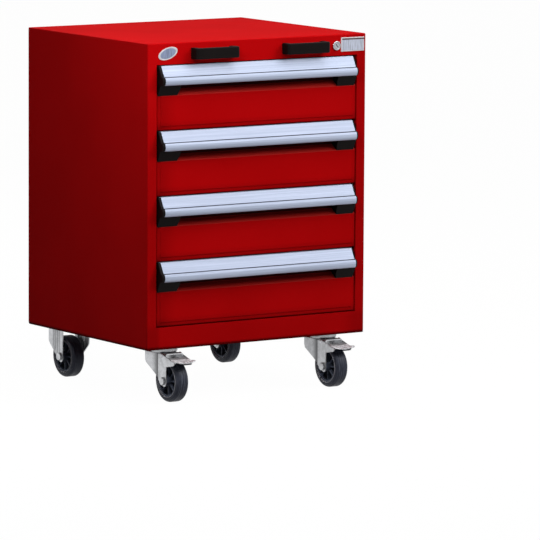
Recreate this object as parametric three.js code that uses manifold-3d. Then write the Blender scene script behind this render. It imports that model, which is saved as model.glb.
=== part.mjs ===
import * as THREE from 'three';
import { RoundedBoxGeometry } from 'three/addons/geometries/RoundedBoxGeometry.js';
import { mergeVertices } from 'three/addons/utils/BufferGeometryUtils.js';
import Module from 'manifold-3d';

const wasm = await Module();
wasm.setup();

// A mobile drawer cabinet: a steel housing with four drawers on telescopic runners,
// standing on two braked swivel casters in front and two rigid casters behind.
// Lengths are millimetres. +Z is up, the drawers open towards -Y, and the floor is at z = 0.

// Clearances shared by the whole cabinet
const seatGap = 0.3;
const slideGap = 0.5;
const weldSink = 0.2;
const cutOverrun = 4;

// Housing
const housingWidth = 609.6;
const housingDepth = 533.4;
const housingHeight = 711.2;
const housingSheet = 1.5;
const housingEdgeRadius = 2.5;
const stileWidth = 24.8;
const topRailHeight = 50;
const bottomRailHeight = 48.6;
const openingFloorGap = 3;
const frameReturnDepth = 20;
const bottomFlangeWidth = 20;
const backFlangeDepth = 15;
const panSheet = 2;
const panFlangeHeight = 15;
const channelSheet = 2.5;
const channelWidth = 70;
const channelHeight = 25;
const channelBendRadius = 4;

// Runners
const uprightWidth = 40;
const uprightSheet = 1.5;
const runnerSheet = 1.2;
const runnerHeight = 46;
const runnerDepth = 13.4;
const runnerLipReach = 10.5;
const runnerLength = 470;
const runnerDrop = 88;

// Drawers
const drawerCount = 4;
const drawerTopGap = 2.5;
const drawerSideGap = 2.4;
const frontSheet = 1.5;
const frontBendRadius = 2;
const frontReturnDepth = 14;
const frontTopDrop = 2;
const recessDepth = 14;
const recessHeight = 70;
const boxSheet = 1.5;
const boxDepth = 480;
const boxTopDrop = 14;
const boxFloorRaise = 6;
const boxHemWidth = 3;
const boxHemHeight = 8;

// Drawer handles, measured forward of the drawer front and down from the handle's top
const handleWall = 2.4;
const handleTopReach = 4;
const handleSlopeReach = 17;
const handleSlopeDrop = 25;
const handleGrooveWidth = 1.5;
const handleGrooveDepth = 1.2;
const handleNoseReach = 28;
const handleNoseRadius = 8.5;
const handleNoseDrop = 34;
const handleNoseDegrees = [100, 270];
const handleHookReach = 16;
const handleHookRise = 5;
const handleRearHeight = 34;
const capThickness = 5;
const capBlockWidth = 64;
const capBlockInset = 9;
const capBlockFoot = 13;
const capBlockReach = 21;

// Pull handles on the top rail
const pullSideInset = 177.8;
const pullLength = 120;
const pullHeight = 26;
const pullReach = 27;
const pullGrip = 9;
const pullFoot = 15;
const pullRadius = 7;
const pullInnerRadius = 4;
const pullDrop = 26.5;

// Lock
const lockSideInset = 83.8;
const lockDrop = 26.5;
const lockFlangeRadius = 11;
const lockFlangeReach = 3;
const lockBodyRadius = 9;
const lockPlugRadius = 7;
const lockPlugSet = 0.8;
const lockBodyLength = 20;
const lockDiscRadius = 9.5;
const lockDiscThickness = 2;
const lockPinRadius = 2;
const lockPinOffset = 5;
const lockPinDegrees = -45;
const lockKeyWidth = 2;
const lockKeyLength = 9;
const lockKeyDepth = 4;
const lockKeyDegrees = 40;
const lockBarSheet = 2;
const lockBarArmHeight = 22;
const lockBarArmPast = 12;
const lockBarLegWidth = 18;
const lockBarSideGap = 2;
const lockBarNotchDepth = 7;
const lockBarNotchHeight = 14;

// Casters
const casterHeight = 130;
const casterSideInset = 80.3;
const casterEndInset = 53.5;
const wheelDiameter = 100;
const tyreWidth = 33;
const tyreInnerRadius = 38;
const tyreShoulder = 8;
const hubRimWidth = 27;
const hubRimThickness = 4.5;
const hubWebThickness = 5;
const hubRibWidth = 3;
const hubRibCount = 8;
const hubRibInset = 3;
const hubBossRadius = 12;
const hubBossWidth = 42;
const axleRadius = 6;
const axleHeadRadius = 9.5;
const axleHeadHeight = 6;
const axleThreadPast = 3;
const forkSheet = 2.5;
const forkLegSpan = 48;
const forkTrail = 36;
const forkHalfWidth = 44;
const forkEndRadius = 11;
const forkFootDegrees = -20;
const forkShoulderHeight = 88;
const forkCurveInset = 9;
const forkCurveStart = 8;
const forkCrownHeight = 9;
const forkCrownRadius = 30;
const swivelHeadRadius = 30;
const swivelNeckRadius = 22;
const swivelRimHeight = 4;
const kingBoltRadius = 5;
const kingBoltGap = 0.4;
const kingNutRadius = 9;
const kingNutHeight = 8;
const kingHeadHeight = 4;
const bracketLegReach = 53;
const bracketShoulderHeight = 82;
const bracketRibWidth = 4;
const bracketRibHeight = 1.2;
const bracketRibShares = [0.3, 0.55];

// Brake pedals, measured from the swivel axis and from the floor
const pedalReach = 97;
const pedalWidth = 60;
const pedalSheet = 2;
const pedalBendRadius = 3;
const pedalPivotReach = 30;
const pedalPivotHeight = 110;
const pedalPivotRadius = 3;
const pedalPivotGap = 0.4;
const pedalArmHeight = 17;
const pedalArmTail = 7;
const pedalArmReach = 76;
const pedalLipTop = 105;
const pedalLipDrop = 3;
const pedalUpperReach = 89;
const pedalUpperDrop = 5;
const pedalShoeLength = 14;
const pedalShoeLift = 1.9;

// Facets of the round pieces
const roundSteps = 32;
const hubSteps = 20;
const smallRoundSteps = 16;
const pinSteps = 12;
const hexSteps = 6;
const bendSteps = 2;
const shoulderSteps = 3;
const noseSteps = 9;

// Places worked out from the sizes above
const housingBottom = casterHeight;
const housingTop = housingBottom + housingHeight;
const sideX = housingWidth / 2;
const frontY = -housingDepth / 2;
const rearY = housingDepth / 2;
const innerX = sideX - housingSheet - seatGap;
const openingHalf = sideX - stileWidth;
const openingTop = housingTop - topRailHeight;
const openingBottom = housingBottom + bottomRailHeight;
const panBottom = housingBottom + housingSheet + seatGap;
const panTop = panBottom + panSheet;
const channelBottom = panTop + seatGap;
const channelTop = channelBottom + channelHeight;
const panFlangeInner = innerX - panSheet;
const drawerPitch = (openingTop - openingBottom - openingFloorGap) / drawerCount;
const frontHeight = drawerPitch - drawerTopGap;
const frontHalf = openingHalf - drawerSideGap;
const pullX = sideX - pullSideInset;
const lockX = sideX - lockSideInset;
const lockRear = frontY + lockBodyLength;
const lockBarFront = lockRear + lockDiscThickness + 2 * seatGap;
const uprightFront = lockBarFront + lockBarSheet + seatGap;
const runnerRear = uprightFront + runnerLength;
const boxHalf = openingHalf - runnerDepth;
const boxFront = frontY + recessDepth + frontSheet + seatGap;
const casterX = sideX - casterSideInset;
const casterY = rearY - casterEndInset;
const wheelRadius = wheelDiameter / 2;
const axleHeight = wheelRadius;
const legInner = forkLegSpan / 2 - forkSheet;
const legOuter = forkLegSpan / 2;
const crownTop = panBottom - forkCrownHeight - seatGap;
const crownBottom = crownTop - forkSheet;
const frontReach = casterY + pedalReach;

// Solids and the ways to cut and join them
function solid(geometry) {
  const bare = geometry.clone();
  bare.deleteAttribute('normal');
  bare.deleteAttribute('uv');
  const merged = mergeVertices(bare);
  const corners = merged.index.array;
  const kept = [];
  for (let i = 0; i < corners.length; i += 3) {
    const [a, b, c] = [corners[i], corners[i + 1], corners[i + 2]];
    if (a !== b && b !== c && a !== c) kept.push(a, b, c);
  }
  return new wasm.Manifold(new wasm.Mesh({
    numProp: 3,
    vertProperties: merged.attributes.position.array,
    triVerts: new Uint32Array(kept),
  }));
}

function toGeometry(body) {
  const mesh = body.getMesh();
  const geometry = new THREE.BufferGeometry();
  geometry.setAttribute('position', new THREE.BufferAttribute(new Float32Array(mesh.vertProperties), 3));
  geometry.setIndex(new THREE.BufferAttribute(new Uint32Array(mesh.triVerts), 1));
  geometry.computeVertexNormals();
  return geometry;
}

function join(first, ...others) {
  return others.reduce((sum, other) => sum.add(other), first);
}

function cut(first, ...tools) {
  return tools.reduce((rest, tool) => rest.subtract(tool), first);
}

function block([x0, x1], [y0, y1], [z0, z1]) {
  const geometry = new THREE.BoxGeometry(x1 - x0, y1 - y0, z1 - z0);
  geometry.translate((x0 + x1) / 2, (y0 + y1) / 2, (z0 + z1) / 2);
  return solid(geometry);
}

function extruded(points, depth) {
  const shape = new THREE.Shape(points.map(([u, v]) => new THREE.Vector2(u, v)));
  return new THREE.ExtrudeGeometry(shape, { depth, bevelEnabled: false });
}

// A prism along X from an outline of [y, z] points
function prismX(points, [x0, x1]) {
  const geometry = extruded(points, x1 - x0);
  geometry.applyMatrix4(new THREE.Matrix4().set(0, 0, 1, x0, 1, 0, 0, 0, 0, 1, 0, 0, 0, 0, 0, 1));
  return solid(geometry);
}

// A prism along Y from an outline of [x, z] points
function prismY(points, [y0, y1]) {
  const geometry = extruded(points, y1 - y0);
  geometry.applyMatrix4(new THREE.Matrix4().set(1, 0, 0, 0, 0, 0, -1, y1, 0, 1, 0, 0, 0, 0, 0, 1));
  return solid(geometry);
}

// A prism along Z from an outline of [x, y] points
function prismZ(points, [z0, z1]) {
  const geometry = extruded(points, z1 - z0);
  geometry.translate(0, 0, z0);
  return solid(geometry);
}

// A turned piece about its own Z axis from a closed profile of [radius, height] points
function turned(profile, steps = roundSteps) {
  const points = profile.map(([r, z]) => new THREE.Vector2(r, z));
  if (THREE.ShapeUtils.area(points) < 0) points.reverse();
  const geometry = new THREE.LatheGeometry([...points, points[0]], steps);
  geometry.rotateX(Math.PI / 2);
  return solid(geometry);
}

const alongX = (body) => body.rotate([0, 90, 0]);
const alongY = (body) => body.rotate([90, 0, 0]);

function rod(radius, z0, z1, steps = smallRoundSteps) {
  return turned([[0, z0], [radius, z0], [radius, z1], [0, z1]], steps);
}

// A span on one side of the middle, low end first
function mirrored(side, near, far) {
  return side < 0 ? [-far, -near] : [near, far];
}

// Points of an arc about a centre, from one angle to another in degrees
function arc([cu, cv], radius, from, to, steps) {
  const points = [];
  for (let i = 0; i <= steps; i += 1) {
    const angle = THREE.MathUtils.degToRad(from + (to - from) * i / steps);
    points.push([cu + radius * Math.cos(angle), cv + radius * Math.sin(angle)]);
  }
  return points;
}

// A path with its inner corners rounded to a bend radius
function bentPath(points, radius, steps = bendSteps) {
  const path = [points[0]];
  for (let i = 1; i < points.length - 1; i += 1) {
    const corner = new THREE.Vector2(...points[i]);
    const back = new THREE.Vector2(...points[i - 1]).sub(corner).normalize();
    const ahead = new THREE.Vector2(...points[i + 1]).sub(corner).normalize();
    const half = back.angleTo(ahead) / 2;
    const start = corner.clone().addScaledVector(back, radius / Math.tan(half));
    const end = corner.clone().addScaledVector(ahead, radius / Math.tan(half));
    const inward = back.clone().add(ahead).normalize();
    const centre = corner.clone().addScaledVector(inward, radius / Math.sin(half));
    const spokes = [start.sub(centre), end.sub(centre)];
    const sweep = Math.atan2(spokes[0].cross(spokes[1]), spokes[0].dot(spokes[1]));
    for (let k = 0; k <= steps; k += 1) {
      const spoke = spokes[0].clone().rotateAround(new THREE.Vector2(), sweep * k / steps);
      path.push([centre.x + spoke.x, centre.y + spoke.y]);
    }
  }
  path.push(points[points.length - 1]);
  return path;
}

// The closed outline of a sheet whose outer face follows a path; it is as thick as given,
// on the left of the path's direction, with mitred corners
function sheetOutline(path, thickness) {
  const inner = path.map(([u, v], i) => {
    const before = path[Math.max(i - 1, 0)];
    const after = path[Math.min(i + 1, path.length - 1)];
    const into = new THREE.Vector2(u - before[0], v - before[1]).normalize();
    const out = new THREE.Vector2(after[0] - u, after[1] - v).normalize();
    if (i === 0) into.copy(out);
    if (i === path.length - 1) out.copy(into);
    const normal = new THREE.Vector2(-into.y - out.y, into.x + out.x).normalize();
    const reach = thickness / Math.max(normal.dot(new THREE.Vector2(-into.y, into.x)), Number.EPSILON);
    return [u + normal.x * reach, v + normal.y * reach];
  });
  return [...path, ...inner.reverse()];
}

// Paints as seen on the cabinet
const paints = {
  red: { color: 0xb5080c, roughness: 0.42, metalness: 0.0 },
  zinc: { color: 0xb9bcc0, roughness: 0.38, metalness: 0.85 },
  aluminium: { color: 0xd3dae6, roughness: 0.34, metalness: 0.9 },
  plastic: { color: 0x131315, roughness: 0.5, metalness: 0.0 },
  rubber: { color: 0x24262b, roughness: 0.7, metalness: 0.0 },
  nylon: { color: 0x1b1d22, roughness: 0.55, metalness: 0.0 },
  chrome: { color: 0xd8dadd, roughness: 0.16, metalness: 1.0 },
};

const cabinet = new THREE.Group();
const model = new THREE.Group();
model.position.y = (frontReach - rearY) / 2;
cabinet.add(model);

function place(name, body, paint, parent = model) {
  const mesh = new THREE.Mesh(toGeometry(body), new THREE.MeshStandardMaterial(paints[paint]));
  mesh.name = name;
  parent.add(mesh);
}

// Housing: one folded shell with the frame of the drawer opening turned back all round
function housingShell() {
  const round = new RoundedBoxGeometry(
    housingWidth, housingDepth + 2 * cutOverrun, housingHeight, 2, housingEdgeRadius);
  round.translate(0, cutOverrun, (housingBottom + housingTop) / 2);
  const wall = housingSheet;
  const opening = [openingBottom, openingTop];
  const frame = cut(
    block([-openingHalf - wall, openingHalf + wall], [frontY + wall - weldSink, frontY + frameReturnDepth],
      [openingBottom - wall, openingTop + wall]),
    block([-openingHalf, openingHalf], [frontY, frontY + frameReturnDepth + cutOverrun], opening));
  const hollow = cut(solid(round),
    block([-sideX - cutOverrun, sideX + cutOverrun], [rearY, rearY + 3 * cutOverrun],
      [housingBottom - cutOverrun, housingTop + cutOverrun]),
    block([wall - sideX, sideX - wall], [frontY + wall, rearY + cutOverrun],
      [housingBottom + wall, housingTop - wall]),
    block([-openingHalf, openingHalf], [frontY - cutOverrun, frontY + wall + cutOverrun], opening),
    block([bottomFlangeWidth - sideX, sideX - bottomFlangeWidth],
      [frontY + bottomFlangeWidth, rearY + cutOverrun],
      [housingBottom - cutOverrun, housingBottom + wall + cutOverrun]),
    alongY(rod(lockBodyRadius + seatGap, -cutOverrun, cutOverrun))
      .translate([lockX, frontY, housingTop - lockDrop]));
  return join(hollow, frame);
}

function backPanel() {
  const outer = block([-innerX, innerX], [rearY - backFlangeDepth, rearY],
    [panTop + seatGap, housingTop - housingSheet - seatGap]);
  const edge = housingSheet;
  const inner = block([edge - innerX, innerX - edge], [rearY - backFlangeDepth - cutOverrun, rearY - edge],
    [panTop + seatGap + edge, housingTop - housingSheet - seatGap - edge]);
  return cut(outer, inner);
}

function basePan() {
  const front = frontY + housingSheet + seatGap;
  const sheet = block([-innerX, innerX], [front, rearY], [panBottom, panTop]);
  const rim = block([-innerX, innerX], [front, rearY - backFlangeDepth - seatGap],
    [panTop - weldSink, panTop + panFlangeHeight]);
  const well = block([-panFlangeInner, panFlangeInner], [front + panSheet, rearY],
    [panTop - 2 * weldSink, panTop + panFlangeHeight + cutOverrun]);
  return cut(join(sheet, cut(rim, well)), ...kingHoles(panBottom, panTop));
}

function kingHoles(z0, z1) {
  return [-1, 1].map((side) => rod(kingBoltRadius + kingBoltGap, z0 - cutOverrun, z1 + cutOverrun)
    .translate([side * casterX, -casterY, 0]));
}

function casterChannel(end) {
  const reach = panFlangeInner - seatGap;
  const half = channelWidth / 2;
  const path = [[-half, channelTop], [-half, channelBottom], [half, channelBottom], [half, channelTop]];
  const section = sheetOutline(bentPath(path, channelBendRadius), channelSheet);
  const body = prismX(section, [-reach, reach]).translate([0, end * casterY, 0]);
  return end < 0 ? cut(body, ...kingHoles(channelBottom, channelBottom + channelSheet)) : body;
}

// Runners: three channels nested in each other, with the drawer's own one welded to its box
// A drawer's pieces are measured down from its handle's top, where its own z is 0
function drawerTop(index) {
  return openingTop - drawerTopGap - index * drawerPitch;
}

function channelSection(side, web, lip, half, middle) {
  const path = [[lip, middle + half], [web, middle + half], [web, middle - half], [lip, middle - half]];
  const points = path.map(([inset, z]) => [side * (openingHalf - inset), z]);
  return sheetOutline(points, (web < lip ? side : -side) * -runnerSheet);
}

function cabinetMember(side, index) {
  const section = channelSection(side, -weldSink, runnerLipReach, runnerHeight / 2,
    drawerTop(index) - runnerDrop);
  return prismY(section, [uprightFront, runnerRear]);
}

function carriageMember(side) {
  const web = runnerSheet + slideGap;
  const half = runnerHeight / 2 - runnerSheet - slideGap;
  const section = channelSection(side, web, runnerLipReach + slideGap, half, -runnerDrop);
  return prismY(section, [uprightFront, runnerRear]);
}

function drawerMember(side) {
  const half = runnerHeight / 2 - 2 * runnerSheet - 2 * slideGap;
  const lip = 2 * (runnerSheet + slideGap);
  const section = channelSection(side, runnerDepth + weldSink, lip, half, -runnerDrop);
  return prismY(section, [uprightFront, runnerRear]);
}

function runnerRack(side) {
  const foot = channelTop + seatGap;
  const head = housingTop - housingSheet - seatGap;
  const uprights = [uprightFront, runnerRear - uprightWidth].map((y0) => {
    const y1 = y0 + uprightWidth;
    const path = [
      [side * innerX, y0], [side * openingHalf, y0], [side * openingHalf, y1], [side * innerX, y1],
    ];
    return prismZ(sheetOutline(path, side * -uprightSheet), [foot, head]);
  });
  const members = Array.from({ length: drawerCount }, (_, index) => cabinetMember(side, index));
  return join(...uprights, ...members);
}

// Drawers
function drawerFront() {
  const bottom = -frontHeight;
  const web = frontY + recessDepth;
  const path = [
    [frontY + frontReturnDepth, bottom],
    [frontY, bottom],
    [frontY, -recessHeight],
    [web, recessDepth - recessHeight],
    [web, -frontTopDrop],
    [web + frontReturnDepth / 2, -frontTopDrop],
  ];
  const cheek = bentPath(path, frontBendRadius);
  const skin = sheetOutline(cheek, -frontSheet);
  return join(
    prismX(skin, [-frontHalf, frontHalf]),
    prismX(cheek, [-frontHalf, frontSheet - frontHalf]),
    prismX(cheek, [frontHalf - frontSheet, frontHalf]));
}

function drawerBox() {
  const top = -boxTopDrop;
  const floor = boxFloorRaise - frontHeight;
  const rear = boxFront + boxDepth;
  const shell = cut(
    block([-boxHalf, boxHalf], [boxFront, rear], [floor, top]),
    block([boxSheet - boxHalf, boxHalf - boxSheet], [boxFront + boxSheet, rear - boxSheet],
      [floor + boxSheet, top + cutOverrun]));
  const hem = cut(
    block([-boxHalf, boxHalf], [boxFront, rear], [top - boxHemHeight, top]),
    block([boxHemWidth - boxHalf, boxHalf - boxHemWidth], [boxFront + boxHemWidth, rear - boxHemWidth],
      [top - boxHemHeight - cutOverrun, top + cutOverrun]));
  return join(shell, hem, drawerMember(-1), drawerMember(1));
}

// The handle's face: a flat slope, a groove that holds a strip, and a rounded nose
function handlePoint(reach, drop) {
  return [frontY - reach, -drop];
}

function handleNose() {
  return arc(handlePoint(handleNoseReach - handleNoseRadius, handleNoseDrop), handleNoseRadius,
    ...handleNoseDegrees, noseSteps);
}

function handleSection() {
  const rear = seatGap - recessDepth;
  const underside = handleNoseDrop + handleNoseRadius;
  return sheetOutline([
    handlePoint(rear, handleRearHeight), handlePoint(rear, 0), handlePoint(handleTopReach, 0),
    handlePoint(handleSlopeReach, handleSlopeDrop), ...handleNose(),
    handlePoint(handleHookReach, underside), handlePoint(handleHookReach, underside - handleHookRise),
  ], handleWall);
}

function drawerHandle() {
  const reach = frontHalf - capThickness - seatGap;
  const half = handleGrooveWidth / 2;
  const groove = [
    handlePoint(handleSlopeReach - handleGrooveDepth, handleSlopeDrop - half),
    handlePoint(handleSlopeReach + cutOverrun, handleSlopeDrop - half),
    handlePoint(handleSlopeReach + cutOverrun, handleSlopeDrop + half),
    handlePoint(handleSlopeReach - handleGrooveDepth, handleSlopeDrop + half),
  ];
  const body = prismX(handleSection(), [-reach, reach]);
  return cut(body, prismX(groove, [-reach - cutOverrun, reach + cutOverrun]));
}

// An end cap closes the handle and fills the recess below it with a tapered block
function endCap(side) {
  const rear = seatGap - recessDepth;
  const underside = handleNoseDrop + handleNoseRadius;
  const seat = recessHeight - 2 * seatGap;
  const tail = [handlePoint(0, seat), handlePoint(rear, seat - recessDepth + seatGap)];
  const silhouette = [
    handlePoint(rear, 0), handlePoint(handleTopReach, 0), handlePoint(handleSlopeReach, handleSlopeDrop),
    ...handleNose(), handlePoint(capBlockReach, underside), ...tail,
  ];
  const wedge = [
    handlePoint(rear, underside + seatGap), handlePoint(capBlockReach, underside + seatGap), ...tail,
  ];
  const inner = frontHalf - capBlockWidth;
  const face = [
    [inner, -underside], [inner, capBlockFoot - recessHeight], [inner + capBlockInset, -recessHeight],
    [frontHalf, -recessHeight], [frontHalf, -underside],
  ].map(([x, z]) => [side * x, z]);
  const clear = prismY(face, [frontY - handleNoseReach, frontY + recessDepth]);
  return join(
    prismX(silhouette, mirrored(side, frontHalf - capThickness, frontHalf)),
    prismX(wedge, mirrored(side, inner, frontHalf)).intersect(clear));
}

// Pull handles: a bow standing on two feet
function pullHandle(side) {
  const half = pullLength / 2;
  const outer = bentPath([[-half, 0], [-half, -pullReach], [half, -pullReach], [half, 0]], pullRadius);
  const gripBack = pullGrip - pullReach;
  const inner = bentPath([[half - pullFoot, 0], [half - pullFoot, gripBack], [pullFoot - half, gripBack],
    [pullFoot - half, 0]], pullInnerRadius);
  const low = housingTop - pullDrop - pullHeight / 2;
  return prismZ([...outer, ...inner], [low, low + pullHeight])
    .translate([side * pullX, frontY - seatGap, 0]);
}

// Lock: a barrel in the rail, a plug that turns in it, and a bar that the plug's pin lifts
function lockBarrel() {
  const profile = [
    [lockPlugRadius + seatGap, -lockBodyLength], [lockBodyRadius, -lockBodyLength],
    [lockBodyRadius, seatGap], [lockFlangeRadius, seatGap],
    [lockFlangeRadius, lockFlangeReach - lockPlugSet], [lockFlangeRadius - lockPlugSet, lockFlangeReach],
    [lockPlugRadius + seatGap, lockFlangeReach],
  ];
  return alongY(turned(profile, smallRoundSteps)).translate([lockX, frontY, housingTop - lockDrop]);
}

function lockPlug() {
  const tail = -lockBodyLength - seatGap;
  const profile = [
    [0, tail - lockDiscThickness], [lockDiscRadius, tail - lockDiscThickness], [lockDiscRadius, tail],
    [lockPlugRadius, tail], [lockPlugRadius, lockFlangeReach - lockPlugSet],
    [0, lockFlangeReach - lockPlugSet],
  ];
  const half = lockKeyWidth / 2;
  const key = block([-half, half], [-lockKeyLength / 2, lockKeyLength / 2],
    [lockFlangeReach - lockPlugSet - lockKeyDepth, lockFlangeReach + cutOverrun]);
  const angle = THREE.MathUtils.degToRad(lockPinDegrees);
  const pin = rod(lockPinRadius, tail - lockDiscThickness - lockBarSheet - seatGap,
    tail - lockDiscThickness + weldSink)
    .translate([lockPinOffset * Math.cos(angle), lockPinOffset * Math.sin(angle), 0]);
  const plug = join(cut(turned(profile, smallRoundSteps), key.rotate([0, 0, lockKeyDegrees])), pin);
  return alongY(plug).translate([lockX, frontY, housingTop - lockDrop]);
}

function lockBar() {
  const legOuterX = innerX - lockBarSideGap;
  const legInnerX = legOuterX - lockBarLegWidth;
  const lockZ = housingTop - lockDrop;
  const half = lockBarArmHeight / 2;
  const span = [lockBarFront, lockBarFront + lockBarSheet];
  const outline = [
    [lockX - lockBarArmPast, lockZ - half], [legInnerX, lockZ - half],
    [legInnerX, openingBottom + lockBarLegWidth], [legOuterX, openingBottom + lockBarLegWidth],
    [legOuterX, lockZ + half], [lockX - lockBarArmPast, lockZ + half],
  ];
  const angle = THREE.MathUtils.degToRad(lockPinDegrees);
  const pinX = lockX + lockPinOffset * Math.cos(angle);
  const pinZ = lockZ + lockPinOffset * Math.sin(angle);
  const slotHalf = lockPinRadius + slideGap;
  const slot = block([pinX - slotHalf, lockX + lockPinOffset + slotHalf],
    [span[0] - cutOverrun, span[1] + cutOverrun], [pinZ - slotHalf, pinZ + slotHalf]);
  const notches = Array.from({ length: drawerCount }, (_, index) => {
    const z = drawerTop(index) - runnerDrop;
    return block([legInnerX - cutOverrun, legInnerX + lockBarNotchDepth],
      [span[0] - cutOverrun, span[1] + cutOverrun],
      [z - lockBarNotchHeight / 2, z + lockBarNotchHeight / 2]);
  });
  return cut(prismY(outline, span), slot, ...notches);
}

// Wheels turn about X; a flat facet of the tread stands on the floor
function tyre() {
  const half = tyreWidth / 2;
  const outer = wheelRadius / Math.cos(Math.PI / roundSteps);
  const shoulder = (sign) => arc([outer - tyreShoulder, sign * (half - tyreShoulder)], tyreShoulder,
    sign > 0 ? 0 : -90, sign > 0 ? 90 : 0, shoulderSteps);
  const profile = [[tyreInnerRadius, -half], ...shoulder(-1), ...shoulder(1), [tyreInnerRadius, half]];
  return alongX(turned(profile).rotate([0, 0, 180 / roundSteps]));
}

function wheelHub() {
  const rim = tyreInnerRadius - seatGap;
  const rimInner = rim - hubRimThickness;
  const [rimHalf, webHalf, bossHalf] = [hubRimWidth / 2, hubWebThickness / 2, hubBossWidth / 2];
  const bore = axleRadius + seatGap;
  const profile = [
    [bore, -bossHalf], [hubBossRadius, -bossHalf], [hubBossRadius, -webHalf], [rimInner, -webHalf],
    [rimInner, -rimHalf], [rim, -rimHalf], [rim, rimHalf], [rimInner, rimHalf], [rimInner, webHalf],
    [hubBossRadius, webHalf], [hubBossRadius, bossHalf], [bore, bossHalf],
  ];
  const ribHalf = rimHalf - hubRibInset;
  const ribs = Array.from({ length: hubRibCount / 2 }, (_, i) => {
    const rib = block([-rimInner - weldSink, rimInner + weldSink], [-hubRibWidth / 2, hubRibWidth / 2],
      [-ribHalf, ribHalf]);
    return rib.rotate([0, 0, i * 360 / hubRibCount]);
  });
  const centre = rod((hubBossRadius + bore) / 2, -rimHalf, rimHalf, hubSteps);
  return alongX(join(turned(profile, hubSteps), ...ribs.map((rib) => rib.subtract(centre))));
}

function axleBolt() {
  const grip = legOuter + seatGap;
  const head = (side) => rod(axleHeadRadius, ...mirrored(side, grip, grip + axleHeadHeight), hexSteps);
  return alongX(join(rod(axleRadius, -grip - weldSink, grip + axleHeadHeight + axleThreadPast),
    head(-1), head(1)));
}

// One leg of a fork: an upright web, rounded below round the axle
function legOutline(rearReach, frontEdge, shoulder, top, endRadius) {
  const rearFoot = arc([0, axleHeight], endRadius, forkFootDegrees, -90, shoulderSteps);
  const frontFoot = arc([0, axleHeight], endRadius, -90, -180, shoulderSteps);
  return [
    [rearReach, top], [rearReach, shoulder], ...rearFoot, ...frontFoot.slice(1),
    [-endRadius, axleHeight], [frontEdge, axleHeight + endRadius], [frontEdge, top],
  ];
}

function swivelFork() {
  const frontEdge = -forkTrail - forkEndRadius;
  const outline = legOutline(forkHalfWidth + forkTrail, -forkEndRadius, forkShoulderHeight, crownTop,
    forkEndRadius).map(([y, z]) => [y - forkTrail, z]);
  const plan = (side) => {
    const straight = [[side * legOuter, frontEdge - cutOverrun], [side * legOuter, forkCurveStart]];
    const bend = Array.from({ length: shoulderSteps }, (_, i) => {
      const share = (i + 1) / shoulderSteps;
      const inset = forkCurveInset * (1 - Math.cos(share * Math.PI / 2));
      const along = forkCurveStart + (forkHalfWidth + cutOverrun - forkCurveStart) * share;
      return [side * (legOuter - inset), along];
    });
    return sheetOutline([...straight, ...bend], side * forkSheet);
  };
  const legs = [-1, 1].map((side) => prismZ(plan(side), [0, crownTop])
    .intersect(prismX(outline, [-forkLegSpan, forkLegSpan])));
  const crown = join(
    rod(forkCrownRadius, crownBottom, crownTop, hubSteps),
    block([weldSink - legOuter, legOuter - weldSink], [frontEdge, forkCurveStart],
      [crownBottom, crownTop]));
  return cut(join(crown, ...legs), forkBores());
}

function forkBores() {
  const king = rod(kingBoltRadius + kingBoltGap, crownBottom - cutOverrun, crownTop + cutOverrun);
  const axle = alongX(rod(axleRadius + seatGap, -forkLegSpan, forkLegSpan))
    .translate([0, -forkTrail, axleHeight]);
  const pivot = alongX(rod(pedalPivotRadius + pedalPivotGap, -forkLegSpan, forkLegSpan))
    .translate([0, -pedalPivotReach, pedalPivotHeight]);
  return join(king, axle, pivot);
}

// The swivel head is clamped under the base by its king bolt; the fork's crown turns on it
function swivelHead() {
  const top = panBottom - seatGap;
  const low = crownTop + seatGap;
  const nutBottom = channelBottom + channelSheet + seatGap;
  const profile = [
    [0, low], [swivelHeadRadius - swivelRimHeight, low], [swivelHeadRadius, low + swivelRimHeight / 2],
    [swivelHeadRadius, low + swivelRimHeight], [swivelNeckRadius, low + swivelRimHeight + seatGap],
    [swivelNeckRadius, top], [0, top],
  ];
  const boltLow = crownBottom - seatGap - kingHeadHeight;
  const nut = rod(kingNutRadius, nutBottom, nutBottom + kingNutHeight, hexSteps);
  const head = rod(kingNutRadius, boltLow, boltLow + kingHeadHeight);
  const bolt = rod(kingBoltRadius, boltLow, nutBottom + kingNutHeight + axleThreadPast);
  return join(turned(profile, hubSteps), bolt, nut, head);
}

// The rigid bracket: two legs offset to either end of a slanted plate
function rigidBracket() {
  const top = panBottom - seatGap;
  const outline = legOutline(bracketLegReach, -forkEndRadius, bracketShoulderHeight, top, forkEndRadius);
  const leg = (side) => {
    const points = outline.map(([y, z]) => [-side * y, z]);
    const plate = prismX(points, mirrored(side, legInner, legOuter));
    const ribs = bracketRibShares.map((share) => {
      const y = -side * bracketLegReach * share;
      const half = bracketRibWidth / 2;
      const [x0, x1] = [side * (legOuter - weldSink), side * (legOuter + bracketRibHeight)];
      return prismZ([[x0, y - half], [x1, y - half / 2], [x1, y + half / 2], [x0, y + half]],
        [bracketShoulderHeight - forkEndRadius, top - forkSheet]);
    });
    return join(plate, ...ribs);
  };
  const plate = prismZ([
    [-legOuter, bracketLegReach], [-legOuter, -forkEndRadius], [legOuter, -bracketLegReach],
    [legOuter, forkEndRadius],
  ], [top - forkSheet, top]);
  const axle = alongX(rod(axleRadius + seatGap, -forkLegSpan, forkLegSpan)).translate([0, 0, axleHeight]);
  return cut(join(plate, leg(-1), leg(1)), axle);
}

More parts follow.
